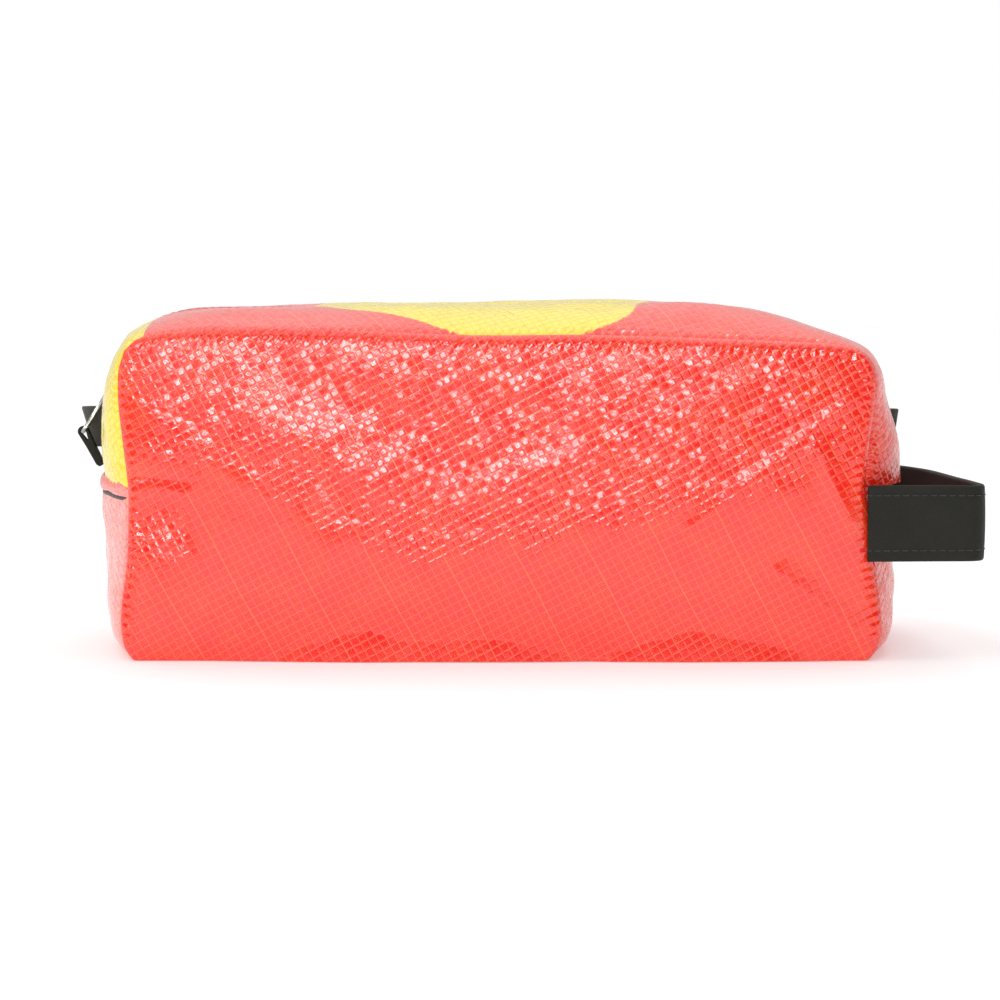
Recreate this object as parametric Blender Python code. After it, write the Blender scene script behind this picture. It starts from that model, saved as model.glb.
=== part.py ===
"""Boxy zipped wash bag sewn from printed film laminate, with a grab strap on its right end.

Metres, +Z up, +X to the bag's right end, -Y towards its front.
The origin is the middle of the base, on the surface that the bag stands on.
"""
import math

import bmesh
import bpy
from mathutils import Vector

MM = 0.001

# Whole bag
HALF_DEPTH = 55 * MM            # front and back seams, from the middle of the bag
SEAM_TOP = 108 * MM             # height of the long top seams
CROSS_SEAM = 58 * MM            # height of the seam across each end
FILM = 0.8 * MM                 # film laminate, with its folded edges
GAP = 0.3 * MM                  # clearance between neighbouring pieces
PANEL_HEIGHTS = (0.3 * MM, 8 * MM, 16 * MM, 36 * MM, 58 * MM, 80 * MM, 98 * MM)
LOWER_HEIGHTS = (FILM + GAP, 6 * MM, 16 * MM, 36 * MM, CROSS_SEAM - GAP)
BINDING_HALF = 2 * MM           # rolled edge over the cross seams
BINDING_PROUD = 1.3 * MM
BINDING_SIDE = 52 * MM
BINDING_SKIN = 0.02 * MM        # how far its inner face lies under its outer one at the edges
SEAM_TAPE_WIDE = 5 * MM         # bound seam allowance inside the two long seams
SEAM_TAPE_THICK = 1.6 * MM
PANEL_BULGE = 3 * MM            # how far the long panels swell in their middle

# Half length of the front and back panels along their end seams, by height
END_SEAM = ((0, 122 * MM), (16 * MM, 125.5 * MM), (58 * MM, 122.9 * MM), (98 * MM, 124 * MM))
# How far each lower end swells past its seams, by height
END_BULGE = ((0, 9 * MM), (12 * MM, 11 * MM), (58 * MM, 13.5 * MM))
SEAM_CORNER = 10 * MM           # radius of the panels' top corners

# The zip's run over the top and down both ends
ZIP_TOP = 116 * MM
ZIP_LEFT_CENTRE = Vector((-108.5 * MM, 0, 94 * MM))
ZIP_LEFT_RADIUS = 22 * MM
ZIP_RIGHT_CENTRE = Vector((94 * MM, 0, 86.5 * MM))
ZIP_RIGHT_REACH = 38 * MM       # the right corner slumps, so it is wider than it is high
ZIP_RIGHT_RISE = 29.5 * MM
FABRIC_EDGE = 5.5 * MM          # the gusset's folded edge, from the zip's middle
GUSSET_SWELL = 2.5 * MM         # how far the gusset stands above the zip on either side
SWELL_START = 20 * MM           # height above the cross seam where it has grown to that
TAPE = 0.6 * MM
TAPE_INNER = 3.85 * MM
TAPE_OUTER = 12 * MM
TAPE_DEPTH = 1.6 * MM           # below the gusset's outer face
COIL_INNER = 0.95 * MM
COIL_OUTER = 3.55 * MM
COIL_TOP = 0.65 * MM
COIL_HEIGHT = 2.2 * MM
STOP_LENGTH = 2.0 * MM
STOP_HALF_WIDTH = 3.5 * MM
STOP_PROUD = 1.2 * MM
TAPE_SHUT = 0.15 * MM           # the tape's inner edge below the stops, where its halves meet
SHUT_STEP = 0.2 * MM
TOP_TURN = math.radians(80)     # beyond this turn the seam keeps level with the zip
LEFT_STOP = 86 * MM             # height of the foot of each zip stop
RIGHT_STOP = 82 * MM
ZIP_WAIST = 66 * MM             # height by which the zip has sunk between the swollen gussets
WAIST_LEAN = 1.8 * MM

# Slider, puller and pull
SLIDER_LENGTH = 9 * MM
SLIDER_HALF_WIDTH = 4.7 * MM
SLIDER_LIP = 0.7 * MM
SLIDER_WEB = 0.6 * MM           # half thickness of the wedge between its plates
SLIDER_TOP = (-0.1 * MM, 0.9 * MM)      # outer plate, from the gusset's outer face
SLIDER_FOOT = (-4.45 * MM, -3.55 * MM)  # inner plate
LIP_ENDS = (-1.1 * MM, -2.95 * MM)
BAIL_HALF_WIDTH = 0.8 * MM
BAIL_HALF_LENGTH = 3.6 * MM
BAIL_CLEAR = 2.2 * MM           # room under the bail
BAIL_WALL = 1.0 * MM
BAIL_BEVEL = 0.4 * MM
PIVOT_OUT = 2.0 * MM            # puller's axis, out from the gusset's outer face
BAR_HALF = 0.55 * MM            # half thickness of the puller's two cross bars
PULLER_THICK = 1.1 * MM
PULLER_NECK = 2.3 * MM          # half widths of the puller
PULLER_EYE = 3.4 * MM
PULLER_BEVEL = 0.5 * MM
EYE_BEVEL = 1.0 * MM
NECK_END = 8 * MM               # down the puller: end of the neck, narrowest point
WAIST_AT = 12 * MM
WAIST_HALF = 1.9 * MM
EYE_NECK = 4.5 * MM             # up from the pull's axis: where the eye starts to widen
EYE_NECK_HALF = 2.4 * MM
BAIL_SLOT = (1.3 * MM, 4.6 * MM)        # half width and end of the slot for the bail
EYE_SLOT = (2.3 * MM, 2.5 * MM)         # half width and length of the slot for the pull
PULLER_TIP = Vector((-145.3 * MM, 0, 73.3 * MM))
PULL_TIP = Vector((-139.2 * MM, 0, 61.3 * MM))
PULL_HALF_WIDTH = 2.0 * MM
PULL_WRAP = 1.0 * MM            # inner radius of the pull round the puller's bar
PULL_PLY = 0.9 * MM
PULL_THROAT = 3.6 * MM          # down the pull: end of the opening round the bar
PULL_SLIT = 0.3 * MM            # half width of that end
SLIT_TAPER = 0.02
PULL_JOIN = 5 * MM              # down the pull: where its two plies are joined
PULL_JOIN_HALF = 1.5 * MM
PULL_TAPER = 1.2 * MM           # length of its tapered tip
PULL_FOOT_HALF = 1.25 * MM
PULL_TIP_HALF = 0.6 * MM

# Loop tabs at the zip's ends: legs side by side in plan, with the fold outermost
TAB_PLY = 1.1 * MM
TAB_NEAR = 4.05 * MM
LEFT_TAB_FAR = 11.5 * MM
RIGHT_TAB_FAR = 9.8 * MM
# Lower and upper edge of each tab: height, root and reach
LEFT_TAB = ((67.6 * MM, 132.8 * MM, 143.1 * MM), (81.6 * MM, 131.8 * MM, 147.3 * MM))
RIGHT_TAB = ((69 * MM, 134.1 * MM, 138.5 * MM), (80.8 * MM, 133.1 * MM, 140.2 * MM))

# Grab strap across the right end: two plies, sewn into the front and back end seams
STRAP_WIDTH = 25 * MM
STRAP_PLY = 1.0 * MM
STRAP_MIDDLE = Vector((124 * MM, 0, 46 * MM))
STRAP_Y = 56.6 * MM
STRAP_CORNER = 3.5 * MM
STRAP_TIP = 159.9 * MM
STRAP_STITCHED = 16 * MM        # length sewn flat at the front seam
# The way back from the tight fold to the back seam
STRAP_RETURN = ((159 * MM, -39 * MM), (157 * MM, -18 * MM), (153.2 * MM, 19 * MM), (146 * MM, 41 * MM),
                (141 * MM, 49.5 * MM), (134.5 * MM, 54.8 * MM), (129 * MM, STRAP_Y))


def clear_scene():
    for item in list(bpy.data.objects):
        bpy.data.objects.remove(item, do_unlink=True)


def material(name, colour, roughness, metallic=0.0):
    made = bpy.data.materials.new(name)
    made.use_nodes = True
    shader = made.node_tree.nodes["Principled BSDF"]
    shader.inputs["Base Color"].default_value = (*colour, 1.0)
    shader.inputs["Roughness"].default_value = roughness
    shader.inputs["Metallic"].default_value = metallic
    return made


def make_materials():
    return {
        "red_film": material("red_film", (0.86, 0.07, 0.04), 0.22),
        "yellow_film": material("yellow_film", (0.95, 0.80, 0.02), 0.22),
        "black_leather": material("black_leather", (0.022, 0.023, 0.020), 0.45),
        "black_tape": material("black_tape", (0.015, 0.015, 0.016), 0.85),
        "black_coil": material("black_coil", (0.02, 0.02, 0.022), 0.4),
        "binding": material("binding", (0.03, 0.03, 0.03), 0.8),
        "steel": material("steel", (0.62, 0.62, 0.66), 0.25, 1.0),
    }


def along(table, at):
    """Value of a short (position, value) table, straight between its rows."""
    if at <= table[0][0]:
        return table[0][1]
    for (low, first), (high, second) in zip(table, table[1:]):
        if at <= high:
            return first + (second - first) * (at - low) / (high - low)
    return table[-1][1]


def add_object(name, mesh, finish, smooth=True):
    mesh.materials.append(finish)
    item = bpy.data.objects.new(name, mesh)
    bpy.context.collection.objects.link(item)
    if smooth:
        mesh.shade_smooth()
        mesh.set_sharp_from_angle(angle=math.radians(40))
    return item


def mesh_from(bm, name):
    bmesh.ops.recalc_face_normals(bm, faces=bm.faces)
    mesh = bpy.data.meshes.new(name)
    bm.to_mesh(mesh)
    bm.free()
    return mesh


def closed_sheet(name, outer, inner, finish):
    """A closed sheet between two equal grids of points."""
    bm = bmesh.new()
    tops = [[bm.verts.new(point) for point in row] for row in outer]
    bottoms = [[bm.verts.new(point) for point in row] for row in inner]
    rows = len(tops)
    columns = len(tops[0])
    for i in range(rows - 1):
        for j in range(columns - 1):
            bm.faces.new((tops[i][j], tops[i][j + 1], tops[i + 1][j + 1], tops[i + 1][j]))
            bm.faces.new((bottoms[i][j], bottoms[i + 1][j], bottoms[i + 1][j + 1], bottoms[i][j + 1]))
    for i in range(rows - 1):
        for j in (0, columns - 1):
            bm.faces.new((tops[i][j], tops[i + 1][j], bottoms[i + 1][j], bottoms[i][j]))
    for j in range(columns - 1):
        for i in (0, rows - 1):
            bm.faces.new((tops[i][j], tops[i][j + 1], bottoms[i][j + 1], bottoms[i][j]))
    return add_object(name, mesh_from(bm, name), finish)


def prism(name, outline, direction, finish):
    """A flat outline pushed along a direction."""
    bm = bmesh.new()
    face = bm.faces.new([bm.verts.new(point) for point in outline])
    pushed = bmesh.ops.extrude_face_region(bm, geom=[face])
    moved = [item for item in pushed["geom"] if isinstance(item, bmesh.types.BMVert)]
    bmesh.ops.translate(bm, verts=moved, vec=direction)
    return add_object(name, mesh_from(bm, name), finish, smooth=False)


def spaced(first, last, steps):
    return [first + (last - first) * i / steps for i in range(steps + 1)]


# ---------------------------------------------------------------- long panels and base

def panel_half_length(height):
    """Half length of the long panels at a height, with their round top corners."""
    centre = SEAM_TOP - SEAM_CORNER
    if height <= centre:
        return along(END_SEAM, height)
    rise = min(height - centre, SEAM_CORNER)
    return END_SEAM[-1][1] - SEAM_CORNER + math.sqrt(SEAM_CORNER ** 2 - rise ** 2)


def long_panel(name, side, finish):
    """Front (side -1) or back (side +1) panel, swollen in its middle."""
    heights = list(PANEL_HEIGHTS)
    corner_turns = [math.radians(a) for a in (24, 48, 68, 90)]
    heights += [SEAM_TOP - SEAM_CORNER + SEAM_CORNER * math.sin(a) for a in corner_turns]
    outer = []
    inner = []
    for z in heights:
        half = panel_half_length(z)
        swell_z = math.sin(math.pi * min(z / SEAM_TOP, 1.0))
        outer_row = []
        inner_row = []
        for part in spaced(-1, 1, 12):
            swell = PANEL_BULGE * swell_z * (1 - part * part)
            outer_row.append(Vector((part * half, side * (HALF_DEPTH + swell), z)))
            inner_row.append(Vector((part * half, side * (HALF_DEPTH + swell - FILM), z)))
        outer.append(outer_row)
        inner.append(inner_row)
    return closed_sheet(name, outer, inner, finish)


def end_reach(depth, height):
    """Distance of a lower end's outer face from the bag's middle."""
    crown = 1 - (depth / HALF_DEPTH) ** 2
    return along(END_SEAM, height) + along(END_BULGE, height) * crown


def base_panel(finish):
    edge = HALF_DEPTH - FILM - GAP
    outer = []
    inner = []
    for y in spaced(-edge, edge, 9):
        reach = end_reach(y, 0)
        outer.append([Vector((part * reach, y, 0)) for part in spaced(-1, 1, 3)])
        inner.append([Vector((part * reach, y, FILM)) for part in spaced(-1, 1, 3)])
    return closed_sheet("base_panel", outer, inner, finish)


def lower_end(name, side, finish):
    edge = HALF_DEPTH - FILM - GAP
    outer = []
    inner = []
    for z in LOWER_HEIGHTS:
        outer_row = []
        inner_row = []
        for y in spaced(-edge, edge, 10):
            reach = end_reach(y, z)
            outer_row.append(Vector((side * reach, y, z)))
            inner_row.append(Vector((side * (reach - FILM), y, z)))
        outer.append(outer_row)
        inner.append(inner_row)
    return closed_sheet(name, outer, inner, finish)


def cross_seam_binding(name, side, finish):
    """The rolled edge that covers the seam across an end."""
    half = BINDING_HALF
    proud = BINDING_PROUD
    outer = []
    inner = []
    for y in spaced(-BINDING_SIDE, BINDING_SIDE, 10):
        reach = end_reach(y, CROSS_SEAM) + GAP
        section = ((-half, 0), (-0.5 * half, proud), (0.5 * half, proud), (half, 0))
        outer.append([Vector((side * (reach + out), y, CROSS_SEAM + up)) for up, out in section])
        inner.append([Vector((side * (reach - BINDING_SKIN), y, CROSS_SEAM + up * 0.98)) for up, _ in section])
    return closed_sheet(name, outer, inner, finish)


# ---------------------------------------------------------------- the zip's run

def left_zip_point(turn):
    """Point and outward direction on the left corner, turn counted from the end face."""
    outward = Vector((-math.cos(turn), 0, math.sin(turn)))
    return ZIP_LEFT_CENTRE + outward * ZIP_LEFT_RADIUS, outward


def right_zip_point(turn):
    point = ZIP_RIGHT_CENTRE + Vector(
        (ZIP_RIGHT_REACH * math.cos(turn), 0, ZIP_RIGHT_RISE * math.sin(turn)))
    outward = Vector((math.cos(turn) / ZIP_RIGHT_REACH, 0, math.sin(turn) / ZIP_RIGHT_RISE))
    return point, outward.normalized()


def zip_run(side, foot, corner_steps=8):
    """Stations (point, outward, seam point) from a foot height up one end to the top run."""
    corner = left_zip_point if side < 0 else right_zip_point
    knee, _ = corner(0)
    knee_reach = side * knee.x
    reach = ((CROSS_SEAM, end_reach(0, CROSS_SEAM)), (ZIP_WAIST, knee_reach + WAIST_LEAN), (knee.z, knee_reach))
    heights = [foot] + [z for z in (ZIP_WAIST, (ZIP_WAIST + knee.z) / 2) if z > foot + GAP]
    stations = []
    for z in heights:
        share = (z - CROSS_SEAM) / (knee.z - CROSS_SEAM)
        seam_z = CROSS_SEAM + (SEAM_TOP - SEAM_CORNER - CROSS_SEAM) * share
        seam = Vector((side * along(END_SEAM, seam_z), 0, seam_z))
        stations.append((Vector((side * along(reach, z), 0, z)), Vector((side, 0, 0)), seam))
    seam_centre = Vector((side * (END_SEAM[-1][1] - SEAM_CORNER), 0, SEAM_TOP - SEAM_CORNER))
    for turn in spaced(0, math.pi / 2, corner_steps):
        point, outward = corner(turn)
        seam = seam_centre + SEAM_CORNER * Vector((side * math.cos(turn), 0, math.sin(turn)))
        if turn > TOP_TURN:
            seam.x = point.x
        stations.append((point, outward, seam))
    return stations


def top_run():
    """Stations of the straight run over the top."""
    left = ZIP_LEFT_CENTRE.x + GAP
    right = ZIP_RIGHT_CENTRE.x - GAP
    up = Vector((0, 0, 1))
    return [(Vector((x, 0, ZIP_TOP)), up, Vector((x, 0, SEAM_TOP))) for x in spaced(left, right, 8)]


def gusset_half(name, side, stations, finish):
    """Gusset from a long seam to its folded edge beside the zip, crowned between them."""
    first = HALF_DEPTH - FILM - GAP
    outer = []
    inner = []
    for point, outward, seam in stations:
        outer_row = []
        inner_row = []
        rise = min((point.z - CROSS_SEAM) / SWELL_START, 1)
        for y in spaced(first, FABRIC_EDGE, 8):
            share = min((first - y) / (first - TAPE_OUTER), 1)
            crown = (1 - (y / first) ** 2) / (1 - (FABRIC_EDGE / first) ** 2)
            swell = GUSSET_SWELL * rise * math.sin(math.pi * share ** 1.5)
            place = seam.lerp(point, crown) + outward * swell
            place.y = side * y
            outer_row.append(place)
            inner_row.append(place - outward * FILM)
        outer.append(outer_row)
        inner.append(inner_row)
    return closed_sheet(name, outer, inner, finish)


def zip_strip(name, side, stations, inner_edge, outer_edge, top, thick, finish):
    """A flat strip that follows the zip, between two distances from its middle."""
    outer = []
    inner = []
    for index, (point, outward, _) in enumerate(stations):
        near = inner_edge(index) if callable(inner_edge) else inner_edge
        edges = (Vector((0, side * near, 0)), Vector((0, side * outer_edge, 0)))
        outer.append([point - outward * top + edge for edge in edges])
        inner.append([point - outward * (top + thick) + edge for edge in edges])
    return closed_sheet(name, outer, inner, finish)


def end_tape(name, side_x, side_y, stop, finish):
    """Zip tape down one end: its halves close up below the stop."""
    below = [station for station in zip_run(side_x, CROSS_SEAM + GAP) if station[0].z < stop]
    above = zip_run(side_x, stop)
    step = Vector((0, 0, SHUT_STEP))
    point, outward, seam = above[0]
    stations = below + [(point - step, outward, seam)] + above
    shut = len(below) + 1
    return zip_strip(name, side_y, stations, lambda i: TAPE_SHUT if i < shut else TAPE_INNER,
                     TAPE_OUTER, TAPE_DEPTH, TAPE, finish)


def zip_stop(name, side, foot, finish):
    """Metal stop across both halves of the zip."""
    point, outward, _ = zip_run(side, foot)[0]
    half = STOP_HALF_WIDTH
    base = point - outward * (TAPE_DEPTH - GAP)
    outline = [base + Vector((0, y, 0)) for y in (-half, half)]
    outline += [point + outward * STOP_PROUD + Vector((0, y, 0)) for y in (half, -half)]
    return prism(name, outline, Vector((0, 0, STOP_LENGTH)), finish)


def ring_solid(name, outer, inner, low, high, finish):
    """A closed band between two matching loops in the XZ plane, from one depth to another."""
    bm = bmesh.new()
    rings = []
    for loop, y in ((outer, low), (inner, low), (inner, high), (outer, high)):
        rings.append([bm.verts.new((point.x, y, point.z)) for point in loop])
    count = len(outer)
    for first, second in zip(rings, rings[1:] + rings[:1]):
        for i in range(count):
            j = (i + 1) % count
            bm.faces.new((first[i], first[j], second[j], second[i]))
    return add_object(name, mesh_from(bm, name), finish)


def seam_loop(inset):
    """The long panels' outline, moved inwards by a distance."""
    loop = []
    for side in (1, -1):
        run = []
        for z in (inset, PANEL_HEIGHTS[2], CROSS_SEAM):
            run.append(Vector((side * (along(END_SEAM, z) - inset), 0, z)))
        corner = Vector((side * (END_SEAM[-1][1] - SEAM_CORNER), 0, SEAM_TOP - SEAM_CORNER))
        for turn in spaced(0, math.pi / 2, 5):
            outward = Vector((side * math.cos(turn), 0, math.sin(turn)))
            run.append(corner + outward * (SEAM_CORNER - inset))
        loop += run if side > 0 else run[::-1]
    return loop


def seam_binding(name, side, finish):
    """Bound seam allowance, a flat ring against a long panel's inner face."""
    inset = FILM + 2 * GAP
    near = side * (HALF_DEPTH - FILM - GAP)
    return ring_solid(name, seam_loop(inset), seam_loop(inset + SEAM_TAPE_WIDE), near,
                      near - side * SEAM_TAPE_THICK, finish)


# ---------------------------------------------------------------- slider, puller and pull

def combine(target, tool, operation):
    """Join a tool to a piece, or cut it away; the tool itself is left out of the build."""
    tool.hide_render = True
    tool.display_type = "WIRE"
    change = target.modifiers.new(operation.title(), "BOOLEAN")
    change.operation = operation
    change.solver = "EXACT"
    change.object = tool


def zip_slider(finish):
    """Slider at the foot of its run: two plates, a wedge between them, lips and a bail."""
    half = SLIDER_HALF_WIDTH
    lip = half - SLIDER_LIP
    side = [(half, SLIDER_TOP[1]), (half, LIP_ENDS[0]), (lip, LIP_ENDS[0]), (lip, SLIDER_TOP[0]),
            (SLIDER_WEB, SLIDER_TOP[0]), (SLIDER_WEB, SLIDER_FOOT[1]), (lip, SLIDER_FOOT[1]),
            (lip, LIP_ENDS[1]), (half, LIP_ENDS[1]), (half, SLIDER_FOOT[0])]
    section = side + [(-y, out) for y, out in reversed(side)]
    face, outward = left_zip_point(0)
    start = face - Vector((0, 0, SLIDER_LENGTH / 2))
    outline = [start + outward * out + Vector((0, y, 0)) for y, out in section]
    slider = prism("zip_slider", outline, Vector((0, 0, SLIDER_LENGTH)), finish)
    root = SLIDER_TOP[1] - BAIL_WALL / 2
    inner = SLIDER_TOP[1] + BAIL_CLEAR
    outer = inner + BAIL_WALL
    reach = BAIL_HALF_LENGTH
    leg = reach - BAIL_WALL
    arch = [(root, -reach), (outer - BAIL_BEVEL, -reach), (outer, -leg), (outer, leg),
            (outer - BAIL_BEVEL, reach), (root, reach), (root, leg), (inner, leg), (inner, -leg), (root, -leg)]
    foot = face - Vector((0, BAIL_HALF_WIDTH, 0))
    outline = [foot + outward * out + Vector((0, 0, z)) for out, z in arch]
    bail = prism("slider_bail", outline, Vector((0, 2 * BAIL_HALF_WIDTH, 0)), finish)
    combine(slider, bail, "UNION")
    return slider


def puller_axis():
    face, outward = left_zip_point(0)
    return face + outward * PIVOT_OUT


def zip_puller(finish):
    """Flat puller: a cross bar under the bail, a neck, and an eye that holds the pull."""
    pivot = puller_axis()
    run = PULLER_TIP - pivot
    length = run.length
    along_puller = run.normalized()
    across = Vector((0, 1, 0))
    thick = along_puller.cross(across) * PULLER_THICK
    end = length + BAR_HALF
    side = [(-BAR_HALF, PULLER_NECK - PULLER_BEVEL), (-BAR_HALF + PULLER_BEVEL, PULLER_NECK),
            (NECK_END, PULLER_NECK), (WAIST_AT, WAIST_HALF), (length - EYE_NECK, EYE_NECK_HALF),
            (length - EYE_SLOT[1], PULLER_EYE), (end - EYE_BEVEL, PULLER_EYE), (end, PULLER_EYE - EYE_BEVEL)]
    outline = [(s, w) for s, w in side] + [(s, -w) for s, w in reversed(side)]
    start = pivot - thick / 2
    puller = prism("zip_puller", [start + along_puller * s + across * w for s, w in outline], thick, finish)
    slots = ((BAR_HALF, BAIL_SLOT[1], BAIL_SLOT[0]), (length - EYE_SLOT[1], length - BAR_HALF, EYE_SLOT[0]))
    for index, (first, last, half) in enumerate(slots):
        corners = ((first, -half), (last, -half), (last, half), (first, half))
        low = pivot - thick
        slot = prism(f"puller_slot_{index + 1}", [low + along_puller * s + across * w for s, w in corners],
                     2 * thick, finish)
        combine(puller, slot, "DIFFERENCE")
    return puller


def pull_tab(finish):
    """Leather pull: one strip folded round the puller's lower bar and joined below it."""
    run = PULL_TIP - PULLER_TIP
    length = run.length
    down = run.normalized()
    side = Vector((-down.z, 0, down.x))
    outer = []
    inner = []
    wrap = PULL_WRAP + PULL_PLY
    for turn in spaced(-math.pi / 2, math.pi / 2, 8):
        place = -down * math.cos(turn) + side * math.sin(turn)
        outer.append(PULLER_TIP + place * wrap)
        inner.append(PULLER_TIP + place * PULL_WRAP)
    throat = PULLER_TIP + down * PULL_THROAT
    legs = ((PULL_JOIN, PULL_JOIN_HALF), (length - PULL_TAPER, PULL_FOOT_HALF), (length, PULL_TIP_HALF))
    for sign, order in ((1, legs), (-1, legs[::-1])):
        for s, w in order:
            outer.append(PULLER_TIP + down * s + side * (sign * w))
            inner.append(throat + side * (sign * (PULL_SLIT - s * SLIT_TAPER)))
    return ring_solid("pull_tab", outer, inner, -PULL_HALF_WIDTH, PULL_HALF_WIDTH, finish)


# ---------------------------------------------------------------- loop tabs and strap

def loop_path(reach, near, far, inset):
    """Plan of a loop as (distance out, depth): near leg, round fold, far leg."""
    radius = (far - near) / 2 - inset
    middle = (far + near) / 2
    centre = reach - (far - near) / 2
    path = [(0, near + inset)]
    for turn in spaced(-math.pi / 2, math.pi / 2, 8):
        path.append((centre + radius * math.cos(turn), middle + radius * math.sin(turn)))
    path.append((0, far - inset))
    return path


def loop_tab(name, side, bottom, top, far, finish):
    """Folded tab; bottom and top are (height, root, reach) of its two edges."""
    grids = []
    for inset in (0, TAB_PLY):
        rows = []
        for height, root, reach in (bottom, top):
            path = loop_path(reach - root, TAB_NEAR, far, inset)
            rows.append([Vector((side * (root + out), y, height)) for out, y in path])
        grids.append(rows)
    return closed_sheet(name, grids[0], grids[1], finish)


def strap_line():
    """Middle line of the strap in plan, from the front seam to the back seam."""
    start = STRAP_MIDDLE.x
    centre = Vector((STRAP_TIP - STRAP_CORNER, -STRAP_Y + STRAP_CORNER))
    line = [Vector((x, -STRAP_Y)) for x in (start, start + STRAP_STITCHED)]
    for turn in spaced(-math.pi / 2, math.radians(5), 6):
        line.append(centre + STRAP_CORNER * Vector((math.cos(turn), math.sin(turn))))
    line += [Vector(point) for point in STRAP_RETURN]
    line.append(Vector((start, STRAP_Y)))
    return line


def offset_line(line, distance):
    """A line moved sideways, outwards for a positive distance."""
    moved = []
    for i, point in enumerate(line):
        ahead = line[min(i + 1, len(line) - 1)]
        behind = line[max(i - 1, 0)]
        direction = (ahead - behind).normalized()
        moved.append(point + Vector((direction.y, -direction.x)) * distance)
    return moved


def strap_ply(name, near, far, finish):
    line = strap_line()
    grids = []
    for distance in (near, far):
        side = offset_line(line, distance)
        rows = []
        for z in (STRAP_MIDDLE.z - STRAP_WIDTH / 2, STRAP_MIDDLE.z + STRAP_WIDTH / 2):
            rows.append([Vector((point.x, point.y, z)) for point in side])
        grids.append(rows)
    return closed_sheet(name, grids[0], grids[1], finish)


def put_origin(item, point):
    """Move an object's origin onto its joint's axis and leave its shape where it is."""
    for vert in item.data.vertices:
        vert.co -= point
    item.location = point


def build_case(looks):
    red = looks["red_film"]
    yellow = looks["yellow_film"]
    long_panel("front_panel", -1, red)
    long_panel("back_panel", 1, red)
    base_panel(red)
    for side_x, place, stop, film in ((-1, "left_end", LEFT_STOP, yellow), (1, "right_end", RIGHT_STOP, red)):
        lower_end(f"{place}_lower_panel", side_x, red)
        cross_seam_binding(f"{place}_cross_seam_binding", side_x, red)
        for side_y, half in ((-1, "front"), (1, "back")):
            gusset_half(f"{place}_gusset_{half}", side_y, zip_run(side_x, CROSS_SEAM + GAP), film)
            end_tape(f"{place}_zip_tape_{half}", side_x, side_y, stop, looks["black_tape"])
            coil = zip_run(side_x, stop + STOP_LENGTH + GAP)
            zip_strip(f"{place}_zip_coil_{half}", side_y, coil, COIL_INNER, COIL_OUTER, COIL_TOP,
                      COIL_HEIGHT, looks["black_coil"])
        zip_stop(f"{place}_zip_stop", side_x, stop, looks["steel"])
    for side_y, half in ((-1, "front"), (1, "back")):
        seam_binding(f"{half}_seam_binding", side_y, looks["binding"])
    loop_tab("left_end_loop_tab", -1, *LEFT_TAB, LEFT_TAB_FAR, looks["black_leather"])
    loop_tab("right_end_loop_tab", 1, *RIGHT_TAB, RIGHT_TAB_FAR, looks["black_leather"])


def build_flaps(looks):
    for side_y, half in ((-1, "front"), (1, "back")):
        axis = Vector((0, side_y * HALF_DEPTH, SEAM_TOP))
        run = top_run()
        pieces = (
            gusset_half(f"top_gusset_{half}", side_y, run, looks["red_film"]),
            zip_strip(f"zip_tape_{half}", side_y, run, TAPE_INNER, TAPE_OUTER, TAPE_DEPTH, TAPE,
                      looks["black_tape"]),
            zip_strip(f"zip_coil_{half}", side_y, run, COIL_INNER, COIL_OUTER, COIL_TOP, COIL_HEIGHT,
                      looks["black_coil"]),
        )
        for piece in pieces:
            put_origin(piece, axis)


def build_hardware(looks):
    slider = zip_slider(looks["steel"])
    puller = zip_puller(looks["steel"])
    pull = pull_tab(looks["black_leather"])
    for piece, point in ((slider, ZIP_LEFT_CENTRE), (puller, puller_axis()), (pull, PULLER_TIP)):
        put_origin(piece, point)


def build_strap(looks):
    slack = GAP / 2
    outer = strap_ply("handle_outer_ply", slack, slack + STRAP_PLY, looks["black_leather"])
    inner = strap_ply("handle_inner_ply", -slack, -slack - STRAP_PLY, looks["black_leather"])
    for ply in (outer, inner):
        put_origin(ply, STRAP_MIDDLE)


def main():
    clear_scene()
    looks = make_materials()
    build_case(looks)
    build_flaps(looks)
    build_hardware(looks)
    build_strap(looks)


main()
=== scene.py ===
"""Looks of a boxy zipped wash bag of printed film laminate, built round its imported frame.

Metres, +Z up, +X to the end with the strap, -Y towards the front. Every piece stands at the origin.
"""
import math

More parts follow.
